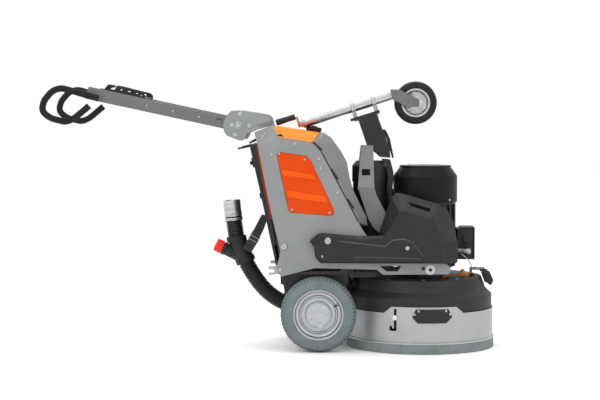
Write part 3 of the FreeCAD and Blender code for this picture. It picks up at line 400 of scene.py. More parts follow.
def smooth_route(points, spacing):
    """Evenly spaced points on a smooth line through a route's corners."""
    curve = bpy.data.curves.new("route", "CURVE")
    curve.dimensions = "3D"
    curve.resolution_u = 24
    spline = curve.splines.new("NURBS")
    spline.points.add(len(points) - 1)
    for item, point in zip(spline.points, points):
        item.co = (*point, 1)
    spline.order_u = 3
    spline.use_endpoint_u = True
    holder = bpy.data.objects.new("route", curve)
    bpy.context.collection.objects.link(holder)
    line = [v.co.copy() for v in bpy.data.meshes.new_from_object(holder).vertices]
    bpy.data.objects.remove(holder)
    out, need = [line[0]], spacing
    for a, b in zip(line, line[1:]):
        length = (b - a).length
        while length > 1e-9 and need <= length:
            out.append(a.lerp(b, need / length))
            need += spacing
        need -= length
    return out


def block(bm, low, high, turn=None, at=None, bevel=0.0):
    """A box with rounded edges, optionally turned about a point."""
    low, high = Vector(low), Vector(high)
    made = bmesh.ops.create_cube(bm, size=1.0)["verts"]
    middle, size = (low + high) / 2, high - low
    for v in made:
        v.co = Vector((v.co.x * size.x, v.co.y * size.y, v.co.z * size.z)) + middle
        if turn is not None:
            v.co = turn @ (v.co - Vector(at)) + Vector(at)
    if bevel:
        edges = list({e for v in made for e in v.link_edges})
        bmesh.ops.bevel(bm, geom=edges, offset=bevel, segments=2, affect="EDGES", profile=0.6)
    return bm


def prism_y(bm, outline, low, high):
    """An (x, z) outline stretched between two Y values."""
    near = [bm.verts.new((x, low, z)) for x, z in outline]
    far = [bm.verts.new((x, high, z)) for x, z in outline]
    bm.faces.new(near)
    bm.faces.new(far[::-1])
    for i in range(len(outline)):
        j = (i + 1) % len(outline)
        bm.faces.new((near[i], far[i], far[j], near[j]))
    return bm


def bolt(bm, at, direction, radius, style="button"):
    """A fastener head standing on a surface: button, or hex with a washer."""
    r = radius
    if style == "button":
        profile = [(0, 0), (r, 0), (r, r * 0.25), (r * 0.8, r * 0.5), (r * 0.45, r * 0.55),
                   (r * 0.42, r * 0.25), (0, r * 0.25)]
        lathe(bm, profile, at, direction, 20)
    else:
        lathe(bm, [(0, 0), (r * 1.35, 0), (r * 1.35, r * 0.18), (r, r * 0.2), (0, r * 0.2)], at, direction,
              24)
        lathe(bm, [(0, r * 0.2), (r * 1.0, r * 0.2), (r * 1.0, r * 0.75), (r * 0.9, r * 0.85),
                   (0, r * 0.85)], at,
              direction, 6)
    return bm


def mm(x, y, z):
    """Millimetres to the scene's metres."""
    return Vector((x, y, z)) / 1000


PLATE_FACE = 250  # outer faces of the side plates, side covers and pivot brackets, in millimetres
COVER_FACE = 300
BRACKET_FACE = 212
COWL_X = 0.711
HEAD_X = (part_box("skirt_ring")[0].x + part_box("skirt_ring")[1].x) / 2
SKIRT_R = (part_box("skirt_ring")[1].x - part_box("skirt_ring")[0].x) / 2
TUBE_SLOPE = math.radians(17.65)
TUBE_START = mm(149, 0, 1021)
TUBE_WAY = Vector((math.cos(TUBE_SLOPE), 0, math.sin(TUBE_SLOPE)))
TUBE_UP = Vector((-math.sin(TUBE_SLOPE), 0, math.cos(TUBE_SLOPE)))


def on_tube(s, lift=0.0, y=0.0):
    """A point s along the transport arm's tube, lifted across it, in metres."""
    return TUBE_START + TUBE_WAY * s + TUBE_UP * lift + Vector((0, y, 0))


# ---- fasteners ----

def frame_fasteners():
    """Bolts of the side plates, panels, pivot brackets and covers."""
    bm = bmesh.new()
    for side in (-1, 1):
        out = (0, side, 0)
        for x, z in ((11, 882), (113, 930), (222, 863), (230, 821), (305, 713)):
            bolt(bm, mm(x, side * PLATE_FACE, z), out, 0.0075)
        for x, z in ((44, 886), (159, 860), (102, 636), (270, 623)):
            bolt(bm, mm(x, side * PLATE_FACE, z), out, 0.0055)
        for x, z in ((-130, 1062), (-166, 1013), (-89, 1010), (-151, 969)):
            bolt(bm, mm(x, side * BRACKET_FACE, z), out, 0.0078, "hex")
        bolt(bm, mm(-138, side * BRACKET_FACE, 1013), out, 0.0125, "hex")
        lean = Vector((0, side * 0.86, 0.51))
        for x, y, z in ((-30, 234, 951), (-27, 230, 962), (-19, 226, 972)):
            bolt(bm, mm(x, side * (y + 2.5), z + 1), lean, 0.005)
        for x, z in ((202, 962), (180, 948)):
            bolt(bm, mm(x, side * (244 - (z - 937)), z), lean, 0.0045)
        bolt(bm, mm(262, side * COVER_FACE, 501), out, 0.015)
        bolt(bm, mm(614, side * COVER_FACE, 469), out, 0.0105)
        bolt(bm, mm(237, side * COVER_FACE, 432), out, 0.005)
        bolt(bm, mm(67, side * PLATE_FACE, 472), out, 0.015)
        bolt(bm, mm(50, side * PLATE_FACE, 368), out, 0.009)
    return finish_mesh(bm, "frame_fasteners", "zinc", "chassis")


def cabinet_edges():
    """The orange and black edges of the cabinet behind the side plates, and the handle's latch rods. The
    orange strips are the cabinet's own orange, darkened with painted shade.
    """
    bm = bmesh.new()
    dark = bmesh.new()
    inner = [(-57, 920), (-47, 919), (-10, 724), (18, 591), (8, 596), (-21, 726)]
    outer = [(-72, 924), (-57, 920), (-21, 726), (8, 596), (30, 480), (18, 470), (-27, 724)]
    for side in (-1, 1):
        low, high = sorted((side * 0.225, side * 0.2445))
        prism_y(bm, [(x / 1000, z / 1000) for x, z in inner], low, high)
        prism_y(dark, [(x / 1000, z / 1000) for x, z in outer], low, high)
    # orange strips in the darker orange: painted shade
    finish_mesh(bm, "cabinet_edges", "orange_painted_shade", "chassis", smooth=False)
    finish_mesh(dark, "panel_returns", "black_paint", "chassis", smooth=False)
    rods = bmesh.new()
    for side in (-1, 1):
        y = side * 198
        tube_along(rods, [mm(-140, y, 907), mm(-88, y, 918), mm(-60, y, 921)], 0.0045, 12)
        tube_along(rods, [mm(-89, y, 931), mm(-74, y, 941), mm(-56, y, 951)], 0.0045, 12)
    return finish_mesh(rods, "latch_levers", "black_paint", "chassis")


def panel_ribs():
    """The raised ribs of the side panels, with sloped sides, in the lighter orange of a painted highlight.
    """
    bm = bmesh.new()
    bands = ([(58, 790), (212, 768), (199, 794), (52, 816)], [(79, 692), (265, 666), (253, 697), (72, 723)])
    for side in (-1, 1):
        for band in bands:
            middle = Vector((sum(p[0] for p in band) / 4, 0, sum(p[1] for p in band) / 4)) / 1000
            foot, crest = [], []
            for x, z in band:
                at = Vector((x / 1000, 0, z / 1000))
                foot.append(bm.verts.new(at + Vector((0, side * 0.2502, 0))))
                crest.append(bm.verts.new(at.lerp(middle, 0.06) + Vector((0, side * 0.2528, 0))))
            bm.faces.new(foot)
            bm.faces.new(crest)
            for i in range(4):
                bm.faces.new((foot[i], foot[(i + 1) % 4], crest[(i + 1) % 4], crest[i]))
    return finish_mesh(bm, "panel_ribs", "orange_painted_highlight", "chassis", smooth=False)


def tube_knob():
    """Lobed rubber knob under the stowed tube."""
    bm = bmesh.new()
    profile = [(0, 0), (0.029, 0), (0.033, 0.004), (0.0335, 0.016), (0.030, 0.0215), (0.014, 0.023),
               (0.012, 0.0265),
               (0, 0.0265)]

    def lobes(angle, r, _z):
        return 0.0028 * math.cos(7 * angle) if r > 0.02 else 0
    lathe(bm, profile, mm(197, 0, 981.4), (0.147, 0, 0.989), 112, lobes)
    return finish_mesh(bm, "tube_knob", "rubber_black", "chassis",
                       replaces=["tube_rest"])


def dark_insets():
    """Black plugs and dark strips: seams, vents, the beams' windows and the gaps above the wheels."""
    bm = bmesh.new()
    seams = (((194, 935.5), (233, 901)), ((276, 816), (304, 771)), ((347, 683), (375, 641)))
    gap = [(214, 913), (235, 888), (394, 585), (398, 587), (239, 890), (218, 916)]
    for side in (-1, 1):
        out = (0, side, 0)
        low, high = sorted((side * 0.236, side * 0.2506))
        prism_y(bm, [(x / 1000, z / 1000) for x, z in gap], low, high)
        for (x0, z0), (x1, z1) in seams:
            a, b = (x0, z0), (x1, z1)
            nx, nz = 0.86, 0.5
            outline = [(a[0], a[1]), (b[0], b[1]), (b[0] + 7 * nx, b[1] + 7 * nz),
                       (a[0] + 7 * nx, a[1] + 7 * nz)]
            low, high = sorted((side * 0.236, side * 0.2515))
            prism_y(bm, [(x / 1000, z / 1000) for x, z in outline], low, high)
        lathe(bm, [(0, 0), (0.0088, 0), (0.0088, 0.004), (0, 0.004)], mm(688, side * 245.5, 374),
              (0, side, 0), 24)
        lathe(bm, [(0, 0), (0.0078, 0), (0.0078, 0.001), (0, 0.001)], mm(719, side * 252.5, 368), out, 24)
        low, high = sorted((side * 0.2005, side * 0.208))
        prism_y(bm, [(0.050, 0.300), (0.060, 0.296), (0.345, 0.296), (0.354, 0.304), (0.354, 0.3535),
                     (0.050, 0.3515)],
                low, high)
        prism_y(bm, [(0.350, 0.333), (0.480, 0.333), (0.480, 0.353), (0.374, 0.353), (0.372, 0.378),
                     (0.344, 0.378)],
                low, high)
        prism_y(bm, [(0.556, 0.345), (0.606, 0.345), (0.606, 0.379), (0.556, 0.379)],
                *sorted((side * 0.205, side * 0.211)))
        low, high = sorted((side * 0.236, side * 0.2495))
        prism_y(bm, [(0.085, 0.3465), (0.352, 0.346), (0.352, 0.373), (0.320, 0.373), (0.318, 0.362),
                     (0.120, 0.359),
                     (0.085, 0.3535)], low, high)
        low, high = sorted((side * 0.236, side * 0.246))
        prism_y(bm, [(0.035, 0.968), (0.052, 0.974), (0.066, 0.962), (0.050, 0.957)], low, high)
    return finish_mesh(bm, "dark_insets", "black_paint", "chassis", smooth=False)


def cover_lines():
    """Lighter lines on the side covers as painted highlights: the lit upper crease and the lit step of the
    recess.
    """
    bm = bmesh.new()
    crease = [(376, 431), (450, 430), (560, 427), (676, 423)]
    step = [(314, 502), (420, 490), (517, 480), (547, 507), (598, 512), (638, 497), (684, 434)]
    for side in (-1, 1):
        low, high = sorted((side * 0.2985, side * 0.3004))
        for line, width in ((crease, 3), (step, 5)):
            outline = [(x / 1000, z / 1000) for x, z in line]
            outline += [(x / 1000, (z - width) / 1000) for x, z in line[::-1]]
            prism_y(bm, outline, low, high)
    # strips in the lighter plastic: painted highlight
    return finish_mesh(bm, "cover_lines", "plastic_painted_highlight", "chassis", smooth=False)


def head_fasteners():
    """Screws in the skirt's grip plates."""
    bm = bmesh.new()
    for side in (-1, 1):
        for x, z in ((644, 178), (802, 178), (662, 193), (784, 193)):
            y = math.sqrt((SKIRT_R + 0.005) ** 2 - (x / 1000 - HEAD_X) ** 2)
            at = Vector((x / 1000, side * y, z / 1000))
            bolt(bm, at, (at.x - HEAD_X, at.y, 0), 0.0052)
    return finish_mesh(bm, "skirt_fasteners", "zinc", "skirt")


def clamp_band():
    """Bright band that clamps the rubber to the skirt, with its screw lug."""
    bm = bmesh.new()
    lathe(bm, [(SKIRT_R + 0.0046, 0.044), (SKIRT_R + 0.0062, 0.044), (SKIRT_R + 0.0062, 0.050),
               (SKIRT_R + 0.0002, 0.0525), (SKIRT_R + 0.0002, 0.0485), (SKIRT_R + 0.0046, 0.0485)],
          (HEAD_X, 0, 0), (0, 0, 1), 144)
    return finish_mesh(bm, "clamp_band", "zinc", "skirt")


# ---- wheels ----

def drive_axle(side):
    """The middle of a drive wheel."""
    return Vector((0.22, side * 0.255, 0.17))


def drive_tyre(side, word):
    """Non-marking tyre: rounded section, side rings and a fine block tread on its shoulders."""
    axle = drive_axle(side)
    bm = bmesh.new()
    turn = frame_of((0, side, 0))
    section = [(0.1085, -0.036), (0.113, -0.041), (0.125, -0.0435), (0.141, -0.0425), (0.152, -0.039),
               (0.1535, -0.0375),
               (0.160, -0.033), (0.1660, -0.024), (0.1690, -0.012), (0.1700, 0.0), (0.1690, 0.012),
               (0.1660, 0.024),
               (0.160, 0.033), (0.1535, 0.0375), (0.152, 0.039), (0.141, 0.0425), (0.125, 0.0435),
               (0.113, 0.041),
               (0.1085, 0.036)]
    steps, teeth = 300, 60
    rings = []
    for k in range(steps):
        angle = 2 * PI * k / steps
        ring = []
        for r, z in section:
            phase = (k * teeth / steps + (0.5 if z > 0 else 0)) % 1
            groove = 0.0050 if phase < 0.40 and 0.0100 < abs(z) < 0.0340 and r > 0.159 else 0
            centre_groove = 0.003 if abs(z) < 0.002 and (k * teeth / steps) % 1 < 0.5 else 0
            reach = r - groove - centre_groove
            ring.append(bm.verts.new(axle + turn @ Vector((reach * math.cos(angle), reach * math.sin(angle),
                                                           z))))
        rings.append(ring)
    for k in range(steps):
        a, b = rings[k], rings[(k + 1) % steps]
        for i in range(len(section)):
            j = (i + 1) % len(section)
            bm.faces.new((a[i], b[i], b[j], a[j]))
    return finish_mesh(bm, "drive_tyre_" + word, "tyre", "wheel_" + word,
                       replaces=["tyre_" + word],
                       angle=28)


def drive_rim(side, word):
    """Pressed rim with stepped rings, closed hub and nuts."""
    axle = drive_axle(side)
    bm = bmesh.new()
    profile = [(0.034, -0.040), (0.034, 0.004), (0.090, 0.004), (0.099, -0.036), (0.1085, -0.038),
               (0.1085, 0.036),
               (0.1125, 0.040), (0.1115, 0.0425), (0.106, 0.0405), (0.1015, 0.034), (0.099, 0.020),
               (0.092, 0.0165),
               (0.0885, 0.0165), (0.084, 0.022), (0.080, 0.0225), (0.076, 0.0180), (0.066, 0.0160),
               (0.0600, 0.0165),
               (0.0585, 0.030), (0.056, 0.033), (0.052, 0.0335), (0.0505, 0.0360), (0.0202, 0.0360),
               (0.0202, -0.040)]
    lathe(bm, profile, axle, (0, side, 0), 96)
    for k in range(5):
        angle = 2 * PI * (k + 0.25) / 5
        at = axle + Vector((0.0385 * math.sin(angle), side * 0.036, 0.0385 * math.cos(angle)))
        if (at - mm(228, side * 291, 123)).length > 0.02:
            bolt(bm, at, (0, side, 0), 0.0042)
    lathe(bm, [(0, 0.0355), (0.0215, 0.0355), (0.0215, 0.0368), (0.0190, 0.0376), (0, 0.0376)], axle,
          (0, side, 0), 48)
    piece = finish_mesh(bm, "wheel_rim_" + word, "zinc", "wheel_" + word,
                        replaces=["rim_" + word])
    valve = bmesh.new()
    at = axle + Vector((0.070, side * 0.016, 0.036))
    tube_along(valve, [at, at + Vector((0.010, side * 0.016, 0.005)),
                       at + Vector((0.012, side * 0.026, 0.006))], 0.0035, 12)
    finish_mesh(valve, "valve_stem_" + word, "rubber_black", "wheel_" + word)
    return piece


def transport_wheel():
    """Black solid tyre on a pressed zinc rim with dimples."""
    centre = Vector((0.665, 0, 1.113))
    tyre = bmesh.new()
    section = [(0.064, -0.021), (0.069, -0.0235), (0.084, -0.0235), (0.092, -0.019), (0.0968, -0.0105),
               (0.098, 0),
               (0.0968, 0.0105), (0.092, 0.019), (0.084, 0.0235), (0.069, 0.0235), (0.064, 0.021)]
    lathe(tyre, section, centre, (0, 1, 0), 96)
    finish_mesh(tyre, "transport_tyre", "rubber_black", "jockey_wheel",
                replaces=["jockey_wheel"])
    rim = bmesh.new()
    half = [(0.0082, 0.027), (0.0155, 0.027), (0.017, 0.012), (0.030, 0.0085), (0.047, 0.0085),
            (0.053, 0.013),
            (0.058, 0.021), (0.0655, 0.0225), (0.0655, 0.020)]
    profile = half + [(r, -z) for r, z in half[::-1]]

    def dimple(angle, r, _z):
        return 0.0025 * math.cos(8 * angle) if 0.028 < r < 0.05 else 0
    lathe(rim, profile, centre, (0, 1, 0), 96, dimple)
    for side in (-1, 1):
        for k in range(4):
            angle = PI / 4 + PI / 2 * k
            at = centre + Vector((0.038 * math.cos(angle), side * 0.0085, 0.038 * math.sin(angle)))
            bolt(rim, at, (0, side, 0), 0.0055, "hex")
    return finish_mesh(rim, "transport_rim", "zinc", "jockey_wheel")


# ---- dust hose ----

HOSE_UPPER = [(-172.8, 0, 602.5), (-167, 0, 551), (-158, 0, 492)]
HOSE_LOWER = [(-113, 0, 377), (-62, 0, 285), (25, 0, 205), (130, 0, 166), (225, 0, 190), (310, 0, 280),
              (375.5, 0, 280)]


def corrugated(route, name, node):
    """Wire-wound hose with rounded ridges."""
    pitch, high, low = 0.009, 0.0385, 0.0315
    points = smooth_route([mm(*p) for p in route], pitch / 8)
    bm = bmesh.new()

    def radius(travelled):
        swing = abs(math.sin(PI * travelled / pitch))
        return low + (high - low) * swing ** 0.6
    tube_along(bm, points, high, 36, radius)
    return finish_mesh(bm, name, "hose", "chassis", replaces=[node], angle=60)


def bend_with_head(hose):
    """Free a hose from its body: drop its parent and bake its place into its mesh."""
    world = hose.matrix_world.copy()
    hose.parent = None
    hose.matrix_world = world
    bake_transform(hose)


def hose_fittings():
    """Collars, clamps and flange rings on the hose."""
    bm = bmesh.new()
    for at, way in ((mm(-157.5, 0, 488), mm(9, 0, -59)), (mm(-118, 0, 391), mm(-40, 0, 101))):
        lathe(bm, [(0.0425, -0.012), (0.046, -0.010), (0.046, 0.010), (0.0425, 0.012)], at, way, 48)
    lathe(bm, [(0.0275, -0.008), (0.0305, -0.006), (0.0305, 0.006), (0.0275, 0.008)], mm(-213, 0, 441.5),
          mm(-82, 0, 41), 40)
    finish_mesh(bm, "hose_collars", "plastic", "chassis")
    clamps = bmesh.new()
    for at, way in ((mm(-172.5, 0, 598), mm(6, 0, -53)), (mm(-170, 0, 580), mm(6, 0, -53))):
        lathe(clamps, [(0.0385, -0.006), (0.0405, -0.006), (0.0405, 0.006), (0.0385, 0.006)], at, way, 48)
        block(clamps, at + Vector((-0.008, -0.052, -0.006)), at + Vector((0.012, -0.040, 0.006)),
              bevel=0.001)
    finish_mesh(clamps, "hose_clamps", "zinc", "chassis")


def coupling():
    """Bright dust port with a rolled lip and two beads."""
    bm = bmesh.new()
    way = mm(-7, 0, 62).normalized()
    profile = [(0.035, 0.0), (0.0395, 0.0), (0.0395, 0.010), (0.0402, 0.013), (0.0395, 0.016),
               (0.0395, 0.040),
               (0.0402, 0.043), (0.0395, 0.046), (0.0395, 0.0590), (0.0405, 0.0610), (0.0395, 0.0624),
               (0.036, 0.0624),
               (0.035, 0.0600)]
    lathe(bm, profile, mm(-173, 0, 604), way, 64)
    return finish_mesh(bm, "dust_port", "chrome", "chassis", replaces=["hose_coupling"])


def cap_detail():
    """Ribbed red cap on the spare branch."""
    bm = bmesh.new()
    way = mm(-32, 0, 16).normalized()
    profile = [(0.0, 0.0), (0.0285, 0.0), (0.0295, 0.004), (0.0285, 0.032), (0.026, 0.0355),
               (0.012, 0.0360),
               (0.011, 0.033), (0.0, 0.033)]
    profile[3:3] = [(0.0290, 0.012), (0.0290, 0.024)]

    def ribs(angle, r, z):
        return 0.0009 * math.cos(24 * angle) if r > 0.028 and z > 0.002 else 0
    lathe(bm, profile, mm(-222.4, 0, 446.2), way, 192, ribs)
    lathe(bm, [(0, -0.016), (0.0228, -0.016), (0.0228, 0), (0, 0)], mm(-222.4, 0, 446.2), way, 48)
    return finish_mesh(bm, "spare_branch_cap", "red", "hose_cap", replaces=["hose_cap"])


def strap():
    """Woven strap with its loose tail, ladder buckle and ring."""
    bm = bmesh.new()
    route = [(-18, 604), (-26, 585), (-36, 563), (-55, 525), (-73, 487), (-90, 461), (-104, 443)]
    steps = smooth_route([mm(x, 0, z) for x, z in route], 0.004)
    half, thick = 0.025, 0.0011
    rings = []
    for i, p in enumerate(steps):
        q = steps[min(i + 1, len(steps) - 1)] - steps[max(i - 1, 0)]
        normal = Vector((-q.z, 0, q.x)).normalized() * thick
        ripple = 0.0006 * math.sin(i * 0.7)
        ring = [bm.verts.new(p + normal * a + Vector((0, b + ripple, 0)))
                for a, b in ((1, -half), (1, half), (-1, half), (-1, -half))]
        rings.append(ring)
    for a, b in zip(rings, rings[1:]):
        for k in range(4):
            bm.faces.new((a[k], a[(k + 1) % 4], b[(k + 1) % 4], b[k]))
    bm.faces.new(rings[0])
    bm.faces.new(rings[-1])
    tail = [(-76, 486), (-70, 505), (-58, 530), (-53, 553), (-55, 573)]
    ribbon = [bm.verts.new(mm(x, s * 24, z)) for x, z in tail for s in (-1, 1)]
    back = [bm.verts.new(mm(x + 1.6, s * 24, z - 1)) for x, z in tail for s in (-1, 1)]
    for i in range(0, len(ribbon) - 2, 2):
        bm.faces.new((ribbon[i], ribbon[i + 1], ribbon[i + 3], ribbon[i + 2]))
        bm.faces.new((back[i], back[i + 2], back[i + 3], back[i + 1]))
        bm.faces.new((ribbon[i], ribbon[i + 2], back[i + 2], back[i]))
        bm.faces.new((ribbon[i + 1], back[i + 1], back[i + 3], ribbon[i + 3]))
    bm.faces.new((ribbon[0], back[0], back[1], ribbon[1]))
    bm.faces.new((ribbon[-2], ribbon[-1], back[-1], back[-2]))
    finish_mesh(bm, "hose_sling", "webbing", "chassis", replaces=["hose_strap"], angle=50)
    buckle = bmesh.new()
    for s in (0.0, 0.5, 1.0):
        at = mm(-73, 0, 487).lerp(mm(-60, 0, 512), s)
        block(buckle, at + Vector((-0.004, -0.030, -0.003)), at + Vector((0.004, 0.030, 0.003)),
              bevel=0.001)
    for side in (-1, 1):
        tube_along(buckle, [mm(-75, side * 29, 484), mm(-58, side * 29, 516)], 0.003, 10)
    ring = [mm(-24, y, z) for y, z in ((-28, 590), (28, 590), (28, 612), (14, 620), (-14, 620), (-28, 612))]
    tube_along(buckle, ring, 0.003, 10, closed=True)
    finish_mesh(buckle, "sling_buckle", "black_paint", "chassis")


def sling_sides():
    """The sling's two flat sides, which lie along the hose and meet at the ring, and their buckle bars."""
    bm = bmesh.new()
    buckles = bmesh.new()
    for side in (-1, 1):
        line = [(mm(-108, side * 47.5, 436), 0.022), (mm(-80, side * 45, 482), 0.022),
                (mm(-52, side * 38, 536), 0.020),
                (mm(-27, side * 31, 592), 0.016)]
        rows = []
        for i, (at, half) in enumerate(line):
            way = (line[min(i + 1, 3)][0] - line[max(i - 1, 0)][0]).normalized()
            across = Vector((way.z, 0, -way.x)).normalized() * half
            out = Vector((0, side * 0.0015, 0))
            rows.append([bm.verts.new(p) for p in (at - across, at + across, at + across + out,
                                                   at - across + out)])
        for a, b in zip(rows, rows[1:]):
            for k in range(4):
                bm.faces.new((a[k], a[(k + 1) % 4], b[(k + 1) % 4], b[k]))
        bm.faces.new(rows[0])
        bm.faces.new(rows[-1])
        for at, half in ((line[1][0], 0.026), (line[1][0].lerp(line[2][0], 0.3), 0.026)):
            across = Vector((0.87, 0, -0.49)) * half
            lift = Vector((0, side * 0.003, 0))
            tube_along(buckles, [at - across + lift, at + across + lift], 0.0016, 8)
    finish_mesh(buckles, "sling_bars", "zinc", "chassis")
    return finish_mesh(bm, "sling_sides", "webbing", "chassis")


# ---- transport arm ----

def arm_fittings():
    """U-bolts with nuts round the clamped tube."""
    bm = bmesh.new()
    reach, foot = 0.0275, -0.068
    for s in (0.238, 0.338):
        for shift in (-0.006, 0.006):
            hoop = []
            for k in range(13):
                angle = PI * k / 12
                hoop.append(on_tube(s + shift, reach * math.sin(angle), reach * math.cos(angle)))
            line = [on_tube(s + shift, foot, reach)] + hoop + [on_tube(s + shift, foot, -reach)]
            tube_along(bm, line, 0.0028, 10)
        for y in (-reach, reach):
            lathe(bm, [(0, 0), (0.0065, 0), (0.0065, 0.005), (0, 0.005)], on_tube(s, -0.0665, y), TUBE_UP,
                  6)
    return finish_mesh(bm, "tube_clamps", "zinc", "arm")


def crank_detail():
    """Crank arm with a turned black grip and the brass nut at the tube's end."""
    crank = bmesh.new()
    lathe(crank, [(0, -0.026), (0.012, -0.026), (0.013, -0.024), (0.013, -0.0125), (0, -0.0125)],
          TUBE_START, TUBE_WAY, 32)
    elbow = [on_tube(-0.019, 0.004, -0.010), on_tube(-0.019, 0.032, -0.078), on_tube(-0.021, 0.037, -0.090),
             on_tube(-0.026, 0.0375, -0.093), on_tube(-0.040, 0.0375, -0.093),
             on_tube(-0.112, 0.0375, -0.093)]
    tube_along(crank, elbow, 0.0055, 14)
    tube_along(crank, [on_tube(-0.020), on_tube(0.330)], 0.0079, 14)
    finish_mesh(crank, "crank_arm", "bright", "crank", replaces=["jockey_crank"])
    grip = bmesh.new()
    profile = [(0, 0), (0.0110, 0), (0.0130, 0.002), (0.0135, 0.010), (0.0128, 0.030), (0.0138, 0.060),
               (0.0145, 0.080),
               (0.0140, 0.088), (0.0110, 0.0915), (0, 0.0915)]
    lathe(grip, profile, on_tube(-0.024, 0.0375, -0.093), -TUBE_WAY, 36)
    finish_mesh(grip, "crank_grip", "plastic", "crank")
    nut = bmesh.new()
    lathe(nut, [(0.0085, -0.011), (0.017, -0.011), (0.019, -0.009), (0.019, -0.003), (0.0245, -0.002),
                (0.0250, 0.010),
                (0.0245, 0.012), (0.0242, 0.012), (0.0085, 0.0)], TUBE_START, TUBE_WAY, 40)
    finish_mesh(nut, "crank_nut", "zinc", "arm")
    bush = bmesh.new()
    lathe(bush, [(0.0082, -0.022), (0.0145, -0.022), (0.015, -0.020), (0.015, -0.014), (0.0082, -0.014)],
          TUBE_START,
          TUBE_WAY, 24)
    return finish_mesh(bush, "crank_bush", "brass", "arm")


# ---- motors, head and lamp ----

def cowl_detail():
    """Fan grille slots pressed in the cowl's top and its fixing screws."""
    bm = bmesh.new()
    centre = Vector((COWL_X, 0, 0.8272))
    for ring in range(5):
        r = 0.030 + 0.016 * ring
        lathe(bm, [(r, -0.001), (r + 0.004, -0.001), (r + 0.004, 0.0006), (r, 0.0006)], centre, (0, 0, 1),
              64)
    for k in range(8):
        angle = PI * k / 4
        way = Vector((math.cos(angle), math.sin(angle), 0))
        tube_along(bm, [centre + way * 0.026, centre + way * 0.104], 0.0016, 8)
    finish_mesh(bm, "cowl_grille", "steel", "head")
    screws = bmesh.new()
    for k in range(4):
        angle = PI / 4 + PI / 2 * k
        way = Vector((math.cos(angle), math.sin(angle), 0))
        bolt(screws, Vector((COWL_X, 0, 0.672)) + way * 0.1465, way, 0.006)
    return finish_mesh(screws, "cowl_screws", "zinc", "head")


def motor_posts():
    """Two upright plates between the motors, under the stowed arm's column."""
    bm = bmesh.new()
    outline = [(541, 380), (541, 683), (538, 761), (530, 832), (509, 856), (548, 853), (563, 795),
               (562, 761), (555, 683),
               (555, 380)]
    for side in (-1, 1):
        low, high = sorted((side * 0.054, side * 0.060))
        prism_y(bm, [(x / 1000, z / 1000) for x, z in outline], low, high)
    return finish_mesh(bm, "motor_posts", "black_paint", "head", smooth=False)


def terminal_detail():
    """Slotted plug, glands and the armoured cable that runs back to the motor."""
    bm = bmesh.new()
    lathe(bm, [(0, 0), (0.018, 0), (0.018, 0.004), (0.016, 0.006), (0.006, 0.006), (0.006, 0.003),
               (0, 0.003)],
          mm(897, -64, 493), (0, -1, 0), 36)
    finish_mesh(bm, "gland_plug", "black_paint", "head")
    gland = bmesh.new()
    lathe(gland, [(0.007, 0), (0.015, 0), (0.015, 0.008), (0.0125, 0.010), (0.0125, 0.020), (0.007, 0.022)],
          mm(903, -62, 436), (0, -1, 0), 32)
    route = [(903, -72, 436), (902, -96, 437), (880, -116, 441), (848, -126, 446), (815, -134, 448)]
    points = smooth_route([mm(*p) for p in route], 0.0012)
    tube_along(gland, points, 0.011, 20, lambda t: 0.0100 + 0.0012 * math.sin(2 * PI * t / 0.005))
    return finish_mesh(gland, "motor_conduit", "steel", "head")


def lamp_detail():
    """Lamp body with cooling ribs and a pale face, on its folded bracket."""
    low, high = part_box("work_lamp")
    body = bmesh.new()
    outline = [(976, 338), (990, 346), (1001, 343), (1006, 338), (1022, 301), (1022, 296), (1013, 277),
               (1001, 281)]
    prism_y(body, [(x / 1000, z / 1000) for x, z in outline], low.y, high.y)
    for k in range(6):
        y = low.y + 0.006 + 0.0132 * k
        block(body, (0.980, y, 0.290), (0.999, y + 0.003, 0.334), bevel=0.0006,
              turn=Matrix.Rotation(math.radians(-20), 3, "Y"), at=(0.990, 0, 0.312))
    finish_mesh(body, "lamp_body", "black_paint", "lamp", smooth=False,
                replaces=["work_lamp"])
    face = bmesh.new()
    prism_y(face, [(1.0055, 0.3385), (1.0075, 0.3395), (1.0238, 0.3015), (1.0218, 0.3005)], low.y + 0.005,
            high.y - 0.005)
    return finish_mesh(face, "lamp_face", "lamp", "lamp", smooth=False)


def deck_detail():
    """Copper pipe, brass tap and bolts on the head's deck."""
    pipe_bm = bmesh.new()
    route = [(872, -50, 330), (850, -66, 331), (822, -92, 330), (800, -128, 329), (782, -160, 328)]
    tube_along(pipe_bm, smooth_route([mm(*p) for p in route], 0.004), 0.0045, 14)
    tube_along(pipe_bm, smooth_route([mm(*p) for p in [(905, -50, 330), (922, -60, 331), (934, -80, 330),
                                                       (930, -100, 326)]],
                                     0.004), 0.004, 14)
    finish_mesh(pipe_bm, "water_pipe", "copper", "head")
    tap = bmesh.new()
    lathe(tap, [(0, 0), (0.010, 0), (0.010, 0.008), (0.0075, 0.009), (0.0075, 0.016), (0, 0.016)],
          mm(880, -47, 336),
          (0, 0, 1), 6)
    lathe(tap, [(0, 0), (0.008, 0), (0.008, 0.010), (0, 0.010)], mm(912, -47, 330), (1, 0, 0), 6)
    finish_mesh(tap, "water_tap", "brass", "head")
    bm = bmesh.new()
    bolt(bm, mm(946, 0, 353), (0, 0, 1), 0.007, "hex")
    bolt(bm, mm(946, -30, 353), (0, 0, 1), 0.007, "hex")
    for k in range(10):
        angle = 2 * PI * (k + 0.5) / 10
        bolt(bm, Vector((HEAD_X + 0.262 * math.cos(angle), 0.262 * math.sin(angle), 0.322)), (0, 0, 1),
             0.005)
    return finish_mesh(bm, "deck_bolts", "zinc", "head")


def deck_cables():
    """Thin light lamp lead that hangs between the box and the deck, held at both ends."""
    bm = bmesh.new()
    route = [(868, -100, 428), (884, -96, 416), (903, -80, 398), (918, -60, 377), (922, -45, 357),
             (920, -40, 350)]
    tube_along(bm, smooth_route([mm(*p) for p in route], 0.003), 0.0022, 10)
    return finish_mesh(bm, "lamp_lead", "zinc", "head")


# ---- handle ----

